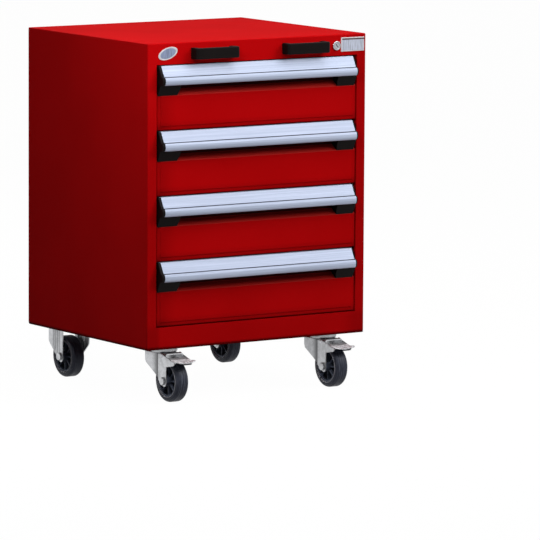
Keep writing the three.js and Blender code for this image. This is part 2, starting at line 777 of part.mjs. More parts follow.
// The brake pedal straddles the fork's legs and carries a shoe over the tread
function brakePedal() {
  const armInner = legOuter + slideGap;
  const armOuter = armInner + pedalSheet;
  const armTop = pedalPivotHeight + pedalArmHeight / 2;
  const armLow = pedalPivotHeight - pedalArmHeight / 2;
  const tail = pedalArmTail - pedalPivotReach;
  const arm = [
    [tail, armTop - pedalArmTail], [tail, armLow + pedalArmTail], [tail - pedalArmTail, armLow],
    [-pedalArmReach, pedalLipTop - pedalLipDrop], [-pedalArmReach, armTop - pedalUpperDrop],
    [pedalArmTail - pedalArmReach, armTop], [tail - pedalArmTail, armTop],
  ];
  const arms = [-1, 1].map((side) => prismX(arm, mirrored(side, armInner, armOuter)));
  const bridgeRear = -forkTrail - forkEndRadius - seatGap;
  const upper = sheetOutline(bentPath([
    [bridgeRear - seatGap, armTop], [pedalArmTail - pedalArmReach, armTop],
    [-pedalUpperReach, armTop - 2 * pedalUpperDrop],
  ], pedalBendRadius), pedalSheet);
  const lower = sheetOutline(bentPath([
    [pedalArmTail - pedalArmReach, pedalLipTop + pedalLipDrop], [-pedalArmReach, pedalLipTop],
    [-pedalReach, pedalLipTop - pedalLipDrop],
  ], pedalBendRadius), pedalSheet);
  const half = pedalWidth / 2;
  const shoeTop = armTop - weldSink;
  const shoeRear = bridgeRear - pedalSheet;
  const shoeLow = wheelDiameter + pedalShoeLift;
  const shoe = prismX([
    [shoeRear, shoeTop], [shoeRear, shoeLow], [shoeRear - pedalShoeLength, shoeLow - pedalSheet],
    [shoeRear - pedalShoeLength, shoeTop],
  ], [-tyreWidth / 4, tyreWidth / 4]);
  const pivots = [-1, 1].map((side) => {
    const ends = mirrored(side, legInner + seatGap, armOuter + pedalSheet);
    return alongX(rod(pedalPivotRadius, ...ends, pinSteps))
      .translate([0, -pedalPivotReach, pedalPivotHeight]);
  });
  return join(prismX(upper, [-armOuter, armOuter]), prismX(lower, [-half, half]), shoe,
    ...arms, ...pivots);
}

// Assembly
place('housing_shell', housingShell(), 'red');
place('back_panel', backPanel(), 'red');
place('base_pan', basePan(), 'red');
place('caster_channel_front', casterChannel(-1), 'red');
place('caster_channel_rear', casterChannel(1), 'red');
place('runner_rack_left', runnerRack(-1), 'zinc');
place('runner_rack_right', runnerRack(1), 'zinc');
place('pull_handle_left', pullHandle(-1), 'plastic');
place('pull_handle_right', pullHandle(1), 'plastic');
place('lock_barrel', lockBarrel(), 'chrome');
place('lock_plug', lockPlug(), 'chrome');
place('lock_bar', lockBar(), 'zinc');

const drawerPieces = [
  ['box', drawerBox(), 'red'],
  ['front', drawerFront(), 'red'],
  ['handle', drawerHandle(), 'aluminium'],
  ['end_cap_left', endCap(-1), 'plastic'],
  ['end_cap_right', endCap(1), 'plastic'],
  ['carriage_left', carriageMember(-1), 'zinc'],
  ['carriage_right', carriageMember(1), 'zinc'],
];

for (let index = 0; index < drawerCount; index += 1) {
  const drawer = new THREE.Group();
  drawer.position.z = drawerTop(index);
  model.add(drawer);
  for (const [piece, body, paint] of drawerPieces) {
    place(`drawer_${index + 1}_${piece}`, body, paint, drawer);
  }
}

function caster(name, side, end) {
  const group = new THREE.Group();
  group.position.set(side * casterX, end * casterY, 0);
  model.add(group);
  const wheel = new THREE.Group();
  wheel.position.set(0, end < 0 ? -forkTrail : 0, axleHeight);
  group.add(wheel);
  if (end < 0) {
    place(`${name}_swivel_head`, swivelHead(), 'zinc', group);
    place(`${name}_fork`, swivelFork(), 'zinc', group);
    place(`${name}_brake_pedal`, brakePedal(), 'zinc', group);
  } else {
    place(`${name}_bracket`, rigidBracket(), 'zinc', group);
  }
  place(`${name}_axle`, axleBolt(), 'zinc', wheel);
  place(`${name}_hub`, wheelHub(), 'nylon', wheel);
  place(`${name}_tyre`, tyre(), 'rubber', wheel);
}

caster('caster_front_left', -1, -1);
caster('caster_front_right', 1, -1);
caster('caster_rear_left', -1, 1);
caster('caster_rear_right', 1, 1);

export default cabinet;
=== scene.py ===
"""A mobile drawer cabinet: finishes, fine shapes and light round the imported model.

Shapes are worked out in millimetres, in the cabinet's own frame, where y = 0 is the middle of the
housing's depth. make_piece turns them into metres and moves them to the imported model's frame.
"""

import math

import bmesh
import bpy
import numpy as np
from mathutils import Matrix, Vector


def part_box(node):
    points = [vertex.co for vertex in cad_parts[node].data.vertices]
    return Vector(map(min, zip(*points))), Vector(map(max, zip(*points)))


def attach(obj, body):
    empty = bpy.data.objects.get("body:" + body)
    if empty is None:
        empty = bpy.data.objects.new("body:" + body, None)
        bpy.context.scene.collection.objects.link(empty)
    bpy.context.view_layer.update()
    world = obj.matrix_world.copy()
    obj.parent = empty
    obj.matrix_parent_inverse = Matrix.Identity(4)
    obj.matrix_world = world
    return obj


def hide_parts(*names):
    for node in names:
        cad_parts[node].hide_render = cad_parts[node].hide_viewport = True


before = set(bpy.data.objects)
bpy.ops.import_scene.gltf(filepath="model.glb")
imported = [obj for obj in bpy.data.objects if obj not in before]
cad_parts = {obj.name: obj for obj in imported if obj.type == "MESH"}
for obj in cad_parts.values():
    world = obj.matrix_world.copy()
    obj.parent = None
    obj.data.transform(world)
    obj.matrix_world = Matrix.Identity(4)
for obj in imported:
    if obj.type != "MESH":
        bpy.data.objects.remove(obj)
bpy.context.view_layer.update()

MM = 0.001
SIDES = {"left": -1, "right": 1}
SEAT_GAP = 0.3

# Housing
HOUSING_WIDTH, HOUSING_DEPTH, HOUSING_HEIGHT = 609.6, 533.4, 711.2
HOUSING_BOTTOM = 130.0
HOUSING_TOP = HOUSING_BOTTOM + HOUSING_HEIGHT
HOUSING_EDGE, HOUSING_BEVEL, SHEET_BEVEL = 1.5, (3, 60), (2, 50)
STILE, TOP_RAIL, BOTTOM_RAIL = 24.8, 50.0, 48.6
SIDE_X = HOUSING_WIDTH / 2
FRONT_Y, REAR_Y = -HOUSING_DEPTH / 2, HOUSING_DEPTH / 2
OPENING_TOP, OPENING_BOTTOM = HOUSING_TOP - TOP_RAIL, HOUSING_BOTTOM + BOTTOM_RAIL
FRAME_SHIFT = np.array([0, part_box("housing_shell")[0].y / MM - FRONT_Y, 0])

# Drawers, measured down from each handle's top
DRAWERS = 4
DRAWER_TOP_GAP, DRAWER_SIDE_GAP, OPENING_FLOOR_GAP = 2.5, 2.4, 3.0
DRAWER_PITCH = (OPENING_TOP - OPENING_BOTTOM - OPENING_FLOOR_GAP) / DRAWERS
FIRST_TOP = OPENING_TOP - DRAWER_TOP_GAP
FRONT_HEIGHT = DRAWER_PITCH - DRAWER_TOP_GAP
FRONT_HALF = SIDE_X - STILE - DRAWER_SIDE_GAP
FRONT_SHEET, FRONT_FOLD, FRONT_RETURN, FRONT_EDGE = 1.5, 2.0, 14.0, 0.25
RECESS_DEPTH, RECESS_HEIGHT, FRONT_TOP_DROP = 14.0, 70.0, 2.0
RECESS_LOW = RECESS_DEPTH - RECESS_HEIGHT
# Heights on a drawer's front sheet: above the first its paint takes painted shade, and between the
# second and the first a painted sheen
RECESS_SHADE, RETURN_SHEEN = RECESS_LOW + 0.6, -RECESS_HEIGHT - 0.5
BORDER, BORDER_RUN, BORDER_DEPTH = 8.0, 2.0, 1.4

# Drawer handles
HANDLE_WALL, HANDLE_REAR, HANDLE_FOLD, HOOK_FOLD = 2.4, 34.0, 0.8, 0.6
HANDLE_TOP_REACH, SLOPE_REACH, SLOPE_DROP = 4.0, 17.0, 25.0
GROOVE_SINK, GROOVE_LIP, GROOVE_SHADE = (1.8, -0.3), 0.8, (-1.2, 0.5, -3.7)
NOSE_REACH, NOSE_DROP, NOSE_HALF, NOSE_TURN = 24.5, 35.0, (5.8, 9.7), (100, 270)
NOSE_MIDDLE, NOSE_LOW = NOSE_REACH - NOSE_HALF[0], NOSE_DROP + NOSE_HALF[1]
HOOK_REACH, HOOK_RISE = 16.0, 5.0
CAP_SPANS, CAP_EDGE, CAP_REAR = {-1: (0.0, 7.0), 1: (8.8, 12.0)}, 0.7, SEAT_GAP - RECESS_DEPTH
BLOCK_WIDTH, BLOCK_INSET, BLOCK_FOOT, BLOCK_REACH, BLOCK_EDGE = 58.0, 4.0, 13.0, 12.5, 1.0
BLOCK_OUTER, BLOCK_LOW = {-1: 0.05, 1: 6.0}, RECESS_HEIGHT - 2 * SEAT_GAP
BLOCK_ROUND_SHARE, BLOCK_LEAST_ROUND = 0.3, 0.05

# Base lip and rear panel
PAN_BOTTOM = HOUSING_BOTTOM + 1.8
LIP_DROP, LIP_SET, LIP_WIDTH, LIP_SINK = 3.4, 0.4, 24.0, 0.2
REAR_SHEET, REAR_PAN_SHEET, REAR_FLANGE, REAR_FOLD = 1.5, 2.0, 14.0, 2.0
REAR_BORDER, REAR_STEP, REAR_PRESS = 24.0, 6.0, 3.2
PANEL_EDGE_RUN, PANEL_STEP_PLACE, PANEL_STEP_RUN = 1.0, REAR_BORDER + 2, 2.5
PANEL_HALF = SIDE_X - REAR_SHEET - SEAT_GAP
PANEL_LOW, PANEL_TOP = PAN_BOTTOM + REAR_PAN_SHEET + SEAT_GAP, HOUSING_TOP - REAR_SHEET - SEAT_GAP
RIVET_RADIUS, RIVET_RISE, RIVETS_ACROSS, RIVETS_UP = 4.2, 2.0, 6, 7
RIVET_SEAT = REAR_Y - REAR_PRESS - 0.2
PANEL_EDGE_SHADE, PANEL_STEP_SHADE, RIVET_SHADE, LIP_SHADE = 0.85, 0.5, 0.8, 0.75

# Pull handles and lock
PULL_SPREAD, PULL_LENGTH, PULL_HEIGHT, PULL_REACH = 127.0, 120.0, 26.0, 27.0
PULL_GRIP, PULL_FOOT, PULL_RADIUS, PULL_INNER_RADIUS, PULL_EDGE = 9.0, 15.0, 7.0, 4.0, 3.0
LEAST_FLAT = 0.8
RAIL_MIDDLE = HOUSING_TOP - 26.5
LOCK_PLACE = (221.0, FRONT_Y, RAIL_MIDDLE)
FLANGE_RADIUS, FLANGE_REACH, FLANGE_EDGE, FLANGE_BEVEL = 11.0, 3.0, 1.6, (0.6, 0.5)
LOCK_BODY_RADIUS, LOCK_BODY_LENGTH = 9.0, 20.0
PLUG_RADIUS, PLUG_SET, PLUG_EDGE, PIN_EDGE = 7.0, 0.8, 0.3, 0.3
KEY_WIDTH, KEY_LENGTH, KEY_DEPTH, KEY_DEGREES, KEY_WALL = 2.0, 9.0, 4.0, 40.0, 0.25
DISC_RADIUS, DISC_THICKNESS, PIN_RADIUS, PIN_OFFSET, PIN_DEGREES = 9.5, 2.0, 2.0, 5.0, -45.0
BAR_SHEET = 2.0

# Bare plates on the rail: the badge's rings are shares of its size and of the plate's thickness
PLATE_THICKNESS, BADGE_DOME, BADGE_DOME_SHARE, BADGE_FIELD = 0.8, 0.5, 0.92, 0.8
BADGE_PLACE, BADGE_HALF, BADGE_TILT = (-250.0, 0.0, 816.8), (27.0, 13.5), math.radians(17.0)
BADGE_SHARES = (1, 1, 0.985, 0.955, 0.93, 0.915, 0.9, 0.82, 0.78, 0.5, 0.3, 0.1)
BADGE_LIFTS = (0, 0.55, 0.75, 0.8, 0.75, 0.55, *[0.5] * 6)
LABEL_X, LABEL_Z, LABEL_BAND = (233.5, 300.0), (800.0, 833.5), (827.5, 831.0)
LABEL_SHEET, LABEL_EDGE, LABEL_RIM_X, LABEL_RIM_Z = 0.4, 0.5, 2.8, 2.3
RIM_STEPS, BAND_STEPS = (-0.3, 0.2), (-0.2, 0.2)

# Casters: a rib's places are measured from its centre line, and each rises to its share
CASTER_X, CASTER_Y = SIDE_X - 80.3, REAR_Y - 53.5
AXLE_HEIGHT, TRAIL = 50.0, 36.0
TYRE_RADIUS, TYRE_HALF, TYRE_INNER, TYRE_SHOULDER = 50.0, 16.5, 38.0, 8.0
TYRE_BEAD = [[40.6, 0], [40.2, -0.6], [39.9, -0.6], [39.6, 0], [39.2, 0.5], [38.5, 0.5]]
BEAD_LINE, BEAD_LINE_DEPTH = 39.7, 0.1
HUB_RIM_HALF, HUB_RIM, HUB_WEB_HALF, HUB_EDGE, HUB_RIM_EDGE = 13.5, 4.5, 2.5, 0.6, 0.5
HUB_BOSS, HUB_BOSS_HALF, HUB_BORE = 12.0, 21.0, 6.3
HUB_WEB_RINGS = (HUB_BOSS, HUB_BOSS + 0.3, HUB_BOSS + 1.2, 16, 20, 24, 28, 31)
RIB_COUNT, RIB_REACH, RIB_PLACES, RIB_RISES = 8, 10.5, (3.2, 1.75, 1.5, 1.1), (0, 0, 0.35, 1)
RIB_HIGHLIGHT_START, RIB_HIGHLIGHT_RUN = HUB_WEB_HALF + 1, 3.0
FORK_SHEET, LEG_OUTER, LEG_INNER, LEG_END, LEG_EDGE = 2.5, 24.0, 21.5, 11.0, 0.35
LEG_FOOT, LEG_FOOT_RUN, LEG_TURN = AXLE_HEIGHT - LEG_END - 2, 9.0, math.radians(-62)
LEG_RADII, ABOVE_LEGS, LEG_SLANT_SHIFT = (0, 9, 7, 6, 12, 0), 200.0, 1.0
AXLE_RADIUS, AXLE_GRIP, THREAD_PAST = 6.0, LEG_OUTER + SEAT_GAP, 3.0
BOLT_EDGE, BOLT_SINK, HEX_ACROSS, HEX_HEIGHT, HEX_EDGE = 1.0, 1.0, 16.5, 6.0, 1.0
HEX_CONE, HEX_RISES = (0.0, 0.97, 1.06, 1.2), (0, 0, 0.5, 1)
WASHER_RADIUS, WASHER_HEIGHT, WASHER_EDGE, WASHER_GAP = 9.5, 1.2, (0.2, 0.3), 0.05
BOLT_SHADE, BOLT_SHADE_RADIUS, HEAD_SHADE = 0.8, 8.9, 0.3
CROWN_TOP, FORK_REAR, FORK_SHOULDER = PAN_BOTTOM - 17.3, 44.0, 88.0
FORK_FOLD, JOGGLE_Y, JOGGLE_RUN, JOGGLE = 4.0, -13.4, 2.5, 3.6
FORK_PLACES = ((-35, -15, 8), (-14, -10, 9), (-6, FORK_REAR, 22))
FORK_SHADE_END, FORK_SHADE_RUN = 18.0, 26.0
HEAD_RADIUS, HEAD_LIP, HEAD_EDGES = 32.0, 2.5, (0, 1.2, 1.2, 1.0, 0)
KING_RADIUS, KING_HEAD_RADIUS, KING_HEAD, KING_HEAD_EDGES = 5.0, 9.0, 4.0, (0, 1.5, 0.3, 0)
KING_NUT_ACROSS, KING_NUT_HEIGHT, KING_NUT_LIFT, KING_NUT_EDGE, KING_PAST = 16.2, 8.0, 5.1, 1.2, 3.0
BRACKET_REACH, BRACKET_SHOULDER, BRACKET_RIB = 53.0, 82.0, 1.6
FLUTE_HALF, FLUTE_SHARES, FLUTE_SHADE_RUN = 3.4, (0.12, 0.28, 0.44, 0.60), 4.0
FLUTE_START, FLUTE_RISE, FLUTE_STOP, FLUTE_FALL, FLUTE_SHADE = 6.0, 10.0, 5.0, 6.0, 0.75
FLUTES_END = BRACKET_REACH * (max(FLUTE_SHARES) + 0.1)
PLATE_NARROWER, PLATE_CORNER, PLATE_EDGE = 0.2, 3.0, 0.4

# Brake pedal: each change of its edges is a height, its start ahead of the caster's axis, its run
PEDAL_ARM, PEDAL_SHEET, PEDAL_FOLD, PEDAL_DISH, PEDAL_EDGE = 26.5, 2.0, 3.0, 1.8, 0.3
PIVOT_Y, PIVOT_Z, PEDAL_TAIL, PEDAL_TAIL_RUN = -30.0, 110.0, 6.0, 7.5
TOP_STRAIGHT, TOP_CURVED = (-8.7, 44, 31), ((-4.3, 32, 12), (-3.5, 73, 24))
FOOT_STRAIGHT, FOOT_CURVED = (7.0, 48, 38), ((-19.5, 30, 16), (6.0, 80, 8))
TREAD_START, TREAD_END = 59.0, 79.0
PEDAL_PLACES = ((22.6, -PIVOT_Y, 7), (34, 56, 10), (TREAD_START, TREAD_END, 14), (80, 89, 5))
PEDAL_NARROWS, WEAR_HIGHLIGHT_IN, WEAR_HIGHLIGHT_DOWN = (2.0, 74.0, 15.0), 1.5, 2.5
TREAD_SHADE, TREAD_SHADE_IN, TREAD_SHADE_DOWN, TREAD_SHADE_ENDS = 0.85, 0.5, 4.5, (40, 8, 72, 6)
PEDAL_LIP_REAR, PEDAL_LIP_TIP, PEDAL_LIP_FALL, PEDAL_LIP_SAG = 74.0, 97.0, 1.2, 4.0
PEDAL_LIP_EVEN, PEDAL_LIP_GAP = 0.6, 0.1
PEDAL_LIP_HALF, PEDAL_LIP_WIDENS, PEDAL_LIP_ROUNDS = 30.0, (9.0, 0.2, 0.35), (8.0, 0.72, 0.98)
SHOE_LENGTH, SHOE_HALF, SHOE_GAP, BRAKE_SWING = 16.0, 8.2, 2.3, math.radians(8.0)
SHOE_CLEAR, SHOE_SINK, SHOE_SHADE, SHOE_SHADE_HALF = 0.4, 0.3, 0.9, 9.0
PIN_ROWS = [[3, 0.2], [5, 0.2], [4.6, 1.4], [3, 2.0], [0, 2.0]]

# Soft shade in the paint, in metres: where it starts, where it is full, and its share
FRAME_SHADES = {"right": (0.235, 0.285, 0.17), "left": (-0.265, -0.28, 0.22),
                "foot": (0.19, 0.17, 0.16), "fold": (0.1375, 0.1305, 0.40)}
LEFT_SHADE_HEIGHT, FACE_SHADE_DEPTH = (0.80, 0.50), (0.004, 0.002)
FRONT_SHADES = {"left": (0.060, 0.30), "right": (0.016, 0.16), "foot": (0.024, 0.34)}

# Floor, light and camera, in metres and degrees
AMBIENT, FLOOR_HALF = 0.03, 60.0
WHITE_SHARE, WHITE_STRENGTH = 0.88, 1.12
LAMPS = {"overhead": ((0.2, -0.6, 3.3), (0, 0, 0.8), 2.4, 46),
         "front_right": ((2.4, -2.6, 2.7), (0, 0, 0.55), 1.6, 64),
         "behind": ((0.3, 3.0, 2.4), (0, 0, 0.5), 1.6, 26),
         "near_left": ((-1.0, -0.9, 1.5), (-0.3, -0.1, 0.5), 0.6, 8.6),
         "front_high": ((0.3, -2.0, 1.9), (0.05, -0.25, 0.6), 1.0, 5)}
CAMERA_TURNS = (-33.625, 7.411, 0.336)
CAMERA_RIGHT, CAMERA_UP, CAMERA_BACK = 0.176804, -0.21713, 12.379
SENSOR_WIDTH, LENS, CLIP_START, CLIP_END = 36.0, 346.13, 0.1, 200.0


# Outlines and shells

AXIS_ORDER = {"X": (2, 0, 1), "Y": (0, 2, 1), "Z": (0, 1, 2)}
MITRE_SHARE, SHORTEST_LEG = 0.2, 1.0


def quarter(count):
    return np.linspace(0, math.pi / 2, count)


def full_turn(count):
    return np.linspace(0, 2 * math.pi, count, endpoint=False)


def polar(radius, angle):
    """Points at a radius and an angle."""
    return np.stack([radius * np.cos(angle), radius * np.sin(angle)], -1)


def unit(rows):
    """Each row over its own length."""
    return rows / np.maximum(np.linalg.norm(rows, axis=1, keepdims=True), 1e-9)


def eased(share):
    """0 below 0, 1 above 1, and 3 s^2 - 2 s^3 between."""
    s = np.clip(share, 0, 1)
    return s * s * (3 - 2 * s)


def rounded(points, radii, steps=6):
    """Corners of a closed outline turned into arcs: each arc's centre lies on the corner's
    bisector at radius / sin(half angle), and its points turn evenly from one side to the other."""
    corner = np.asarray(points, float)
    radius = np.broadcast_to(np.asarray(radii, float), len(corner))[:, None]
    back, ahead = unit(np.roll(corner, 1, 0) - corner), unit(np.roll(corner, -1, 0) - corner)
    half = np.arccos(np.clip((back * ahead).sum(1), -1, 1))[:, None] / 2
    centre = corner + unit(back + ahead) * radius / np.sin(half)
    spoke = corner + back * radius / np.tan(half) - centre
    sense = np.sign(back[:, :1] * ahead[:, 1:] - back[:, 1:] * ahead[:, :1])
    angle = -sense * (math.pi - 2 * half) * np.linspace(0, 1, steps + 1)
    cos, sin = np.cos(angle), np.sin(angle)
    arcs = np.stack([centre[:, :1] + spoke[:, :1] * cos - spoke[:, 1:] * sin,
                     centre[:, 1:] + spoke[:, :1] * sin + spoke[:, 1:] * cos], -1).reshape(-1, 2)
    return arcs[np.linalg.norm(arcs - np.roll(arcs, 1, 0), axis=1) > 1e-6]


def rounded_path(points, radius, steps=6):
    """An open path with rounded inner corners: the rounded outline, its two ends kept sharp."""
    radii = np.full(len(points), float(radius))
    radii[[0, -1]] = 0
    path = rounded(points, radii, steps)
    start = np.argmin(np.linalg.norm(path - np.asarray(points[0], float), axis=1))
    return np.roll(path, -start, 0)


def moved_in(outline, distance, closed=True):
    """Each point moved to the left of the way round; both its sides move by the distance."""
    into, out = outline - np.roll(outline, 1, 0), np.roll(outline, -1, 0) - outline
    if not closed:
        into[0], out[-1] = out[0], into[-1]
    into = unit(into)
    normal = unit((into + unit(out))[:, ::-1] * [-1, 1])
    share = normal[:, 1] * into[:, 0] - normal[:, 0] * into[:, 1]
    return outline + normal * (distance / np.maximum(share, MITRE_SHARE))[:, None]


def sheet_section(path, thickness):
    """The closed outline of a bent sheet: its path, and the path moved left, walked back."""
    return np.vstack([path, moved_in(path, thickness, closed=False)[::-1]])


def at_levels(plans, levels, axis="Z"):
    """Loops from n plans of m points, an (n, m, 2) array, and each plan's level along an axis."""
    level = np.broadcast_to(np.reshape(levels, (-1, 1, 1)), plans.shape[:2] + (1,))
    return np.concatenate([plans, level], -1)[..., AXIS_ORDER[axis]]


def joined(loops, closed=False):
    """A shell from an (m, n, 3) array of loops: quads join neighbours, and the ends are capped."""
    count, around = loops.shape[:2]
    index = np.arange(count * around).reshape(count, around)
    if closed:
        index = np.vstack([index, index[:1]])
    a, b = index[:-1], index[1:]
    faces = np.stack([a, np.roll(a, -1, 1), np.roll(b, -1, 1), b], -1).reshape(-1, 4).tolist()
    if not closed:
        faces += [index[0][::-1].tolist(), index[-1].tolist()]
    return loops.reshape(-1, 3), faces


def sheet(grid, keep=None):
    """An open surface from an (m, n, 3) grid of points, with only the kept cells."""
    index = np.arange(grid.shape[0] * grid.shape[1]).reshape(grid.shape[:2])
    cells = np.stack([index[:-1, :-1], index[:-1, 1:], index[1:, 1:], index[1:, :-1]], -1)
    cells = cells.reshape(-1, 4) if keep is None else cells[keep]
    return grid.reshape(-1, 3), cells.tolist()


def end_rounding(edge, steps=3):
    """Insets and travels of a rounded edge: edge * (1 - sin a) and edge * (1 - cos a)."""
    angle = quarter(steps + 1)
    return edge * (1 - np.sin(angle)), edge * (1 - np.cos(angle))


def prism(outline, low, high, axis, edge):
    """An outline, turned anticlockwise where the sum of its cross products is negative, carried
    along an axis from low to high; its ends shrink round the edge."""
    ahead = np.roll(outline, -1, 0)
    if (outline[:, 0] * ahead[:, 1] - outline[:, 1] * ahead[:, 0]).sum() < 0:
        outline = outline[::-1]
    inset, travel = end_rounding(edge)
    plans = np.stack([moved_in(outline, d) for d in (*inset, *inset[::-1])])
    return joined(at_levels(plans, [*(low + travel), *(high - travel)[::-1]], axis))


def turned(profile, steps, axis="Z", closed=True):
    """A profile of (radius, height) points carried round an axis in equal steps."""
    radius, height = np.hsplit(np.asarray(profile, float), 2)
    return joined(at_levels(polar(radius, full_turn(steps)), height, axis), closed)


def round_rectangles(middle, half, radius, count):
    """For each row a rectangle about its middle, with its half sizes and its corners' radius."""
    unit_arcs = np.vstack([polar(1, quarter(count) + k * math.pi / 2) for k in range(4)])
    corner = np.repeat([[1, 1], [-1, 1], [-1, -1], [1, -1]], count, 0)
    radius = radius[:, None, None]
    return middle[:, None] + corner * (half[:, None] - radius) + radius * unit_arcs


def upturned_u(y, half, low, top, fold, leg_count, top_count, dish=0.0):
    """At each place along y an upturned U: up a leg from its lower edge, round a fold, across the
    top, which sinks by dish * (1 - share across^2), and down the other leg."""
    half, low = half[:, None], low[:, None]
    turn, across = quarter(7)[1:], np.linspace(1, 0, top_count)[1:]
    fold_low = np.maximum(np.reshape(top, (-1, 1)) - fold, low + SHORTEST_LEG)
    x = np.hstack([np.repeat(half, leg_count, 1), half - fold + fold * np.cos(turn),
                   (half - fold) * across])
    z = np.hstack([low + (fold_low - low) * np.linspace(0, 1, leg_count),
                   fold_low + fold * np.sin(turn), fold_low + fold - dish * (1 - across ** 2)])
    x, z = np.hstack([x, -x[:, -2::-1]]), np.hstack([z, z[:, -2::-1]])
    return np.stack([x, np.broadcast_to(y[:, None], x.shape), z], -1)


def shifted(shell, x=0.0, y=0.0, z=0.0):
    return shell[0] + np.array([x, y, z]), shell[1]


# Shader expressions

class Value:
    """One output socket of a node tree; operators on it add Math nodes."""

    def __init__(self, nodes, socket):
        self.nodes, self.socket = nodes, socket

    def maths(self, operation, *values):
        return self.nodes.node("ShaderNodeMath", {"operation": operation}, dict(enumerate(values)))

    def __add__(self, other):
        return self.maths("ADD", self, other)

    def __rsub__(self, other):
        return self.maths("SUBTRACT", other, self)

    def __mul__(self, other):
        return self.maths("MULTIPLY", self, other)

    def __mod__(self, other):
        return self.maths("MODULO", self, other)

    __radd__, __rmul__ = __add__, __mul__

    def ramp(self, low, high, share=1.0):
        """0 at low, the share at high, eased between."""
        settings = {"interpolation_type": "SMOOTHSTEP"}
        inputs = {"Value": self, 1: low, 2: high}
        made = self.nodes.node("ShaderNodeMapRange", settings, inputs)
        return made if share == 1.0 else made * share


class Nodes:
    """The node tree of a material or a world, built by expressions."""

    def __init__(self, owner, output):
        owner.use_nodes = True
        self.tree = owner.node_tree
        self.tree.nodes.clear()
        self.output = self.tree.nodes.new(output)

    def feed(self, node, inputs):
        """Links or constants for a node's sockets."""
        for key, value in inputs.items():
            socket = node.inputs[key]
            if isinstance(value, Value):
                self.tree.links.new(value.socket, socket)
            else:
                socket.default_value = (*value, 1.0) if socket.type == "RGBA" else value

    def node(self, kind, settings=None, inputs=None, output=0):
        """A node of a kind, its settings first, then its sockets."""
        made = self.tree.nodes.new(kind)
        for key, value in (settings or {}).items():
            setattr(made, key, value)
        self.feed(made, inputs or {})
        return Value(self, made.outputs[output])

    def shown(self):
        """1 for rays that reach the camera, directly or through a reflection or a clear piece."""
        seen, *others = [self.node("ShaderNodeLightPath", output=f"Is {kind} Ray")
                         for kind in ("Camera", "Glossy", "Transmission")]
        for other in others:
            seen = seen.maths("MAXIMUM", seen, other)
        return seen


class Finish(Nodes):
    """A material of one shader; its constants are named with underscores for spaces."""

    def __init__(self, name, **constants):
        self.material = bpy.data.materials.new(name)
        super().__init__(self.material, "ShaderNodeOutputMaterial")
        self.shader = self.tree.nodes.new("ShaderNodeBsdfPrincipled")
        self.tree.links.new(self.shader.outputs[0], self.output.inputs["Surface"])
        self.feed(self.shader, {key.replace("_", " "): value for key, value in constants.items()})

    def axes(self):
        """Object coordinates, one value for each axis."""
        where = self.node("ShaderNodeTexCoord", output="Object")
        return [self.node("ShaderNodeSeparateXYZ", {}, {0: where}, axis) for axis in "XYZ"]

    def noise(self, scale, detail, roughness=0.5, stretch=(1, 1, 1)):
        """Noise on Object coordinates, which are scaled by a factor on each axis first."""
        where = self.node("ShaderNodeTexCoord", output="Object")
        where = self.node("ShaderNodeMapping", {}, {"Vector": where, "Scale": stretch})
        inputs = {"Vector": where, "Scale": scale, "Detail": detail, "Roughness": roughness}
        return self.node("ShaderNodeTexNoise", {}, inputs)

    def mix(self, share, first, second):
        settings = {"data_type": "RGBA"}
        return self.node("ShaderNodeMix", settings, {0: share, 6: first, 7: second}, output=2)

    def marked(self, name, colour, marked_colour):
        """A second colour where the piece carries the mark of that name."""
        share = self.node("ShaderNodeAttribute", {"attribute_name": name}, output="Fac")
        return self.mix(share, colour, marked_colour), share

    def wear(self, colour, roughness, bump=None, **more):
        """The shader's varying inputs; a bump is a height, its depth in metres, its strength."""
        inputs = {"Base Color": colour, "Roughness": roughness, **more}
        if bump:
            values = dict(zip(("Height", "Distance", "Strength"), bump))
            inputs["Normal"] = self.node("ShaderNodeBump", {}, values, output="Normal")
        self.feed(self.shader, inputs)
        return self.material


def frame_shade(finish):
    """On the housing only: painted shade makes its frame a little darker than the drawers along its
    right stile, low on its left one and along its foot, and in the fold under the foot."""
    x, y, z = finish.axes()
    face = (FRONT_Y + FRAME_SHIFT[1]) * MM
    left = x.ramp(*FRAME_SHADES["left"]) * z.ramp(*LEFT_SHADE_HEIGHT)
    front = x.ramp(*FRAME_SHADES["right"]) + left + z.ramp(*FRAME_SHADES["foot"])
    at_face = y.ramp(*(face + depth for depth in FACE_SHADE_DEPTH))
    return front * at_face + z.ramp(*FRAME_SHADES["fold"])


def front_shade(finish):
    """On the drawer fronts only: a soft shade along each front's foot and at its two ends; the
    height below each drawer's own top is the height below the first one's, modulo the pitch."""
    x, _, z = finish.axes()
    below = (FIRST_TOP * MM - z) % (DRAWER_PITCH * MM)
    shade = 0.0
    for word, along, edge, way in (("left", x, -FRONT_HALF, 1), ("right", x, FRONT_HALF, -1),
                                   ("foot", below, FRONT_HEIGHT, -1)):
        run, share = FRONT_SHADES[word]
        shade = along.ramp(edge * MM + way * run, edge * MM, share) + shade
    return shade


def red_powder_coat(name="red_powder_coat", shade=None):
    finish = Finish(name, Specular_IOR_Level=0.0, Coat_Weight=0.035, Coat_Roughness=0.3,
                    Coat_IOR=1.5)
    peel, cloud = finish.noise(520, 3), finish.noise(5, 2)
    colour = finish.mix(cloud.ramp(0.3, 0.7), (0.58, 0.0022, 0.0036), (0.63, 0.0028, 0.0044))
    colour = finish.mix(peel.ramp(0.35, 0.75, 0.18), colour, (0.50, 0.0012, 0.0022))
    # Painted shade where a piece is marked: behind each drawer handle, along the rear panel's edge
    # and step, round the rivets' feet and over the whole base lip
    colour, _ = finish.marked("painted_shade", colour, (0.05, 0.0, 0.0))
    # Painted sheen: a lighter, greyer band on the sloped return under each handle
    colour, _ = finish.marked("return", colour, (0.52, 0.020, 0.016))
    if shade:
        colour = finish.mix(shade(finish), colour, (0.04, 0.0002, 0.0006))
    return finish.wear(colour, 0.36 + 0.07 * peel + 0.05 * cloud, (peel, 0.00012, 0.45))


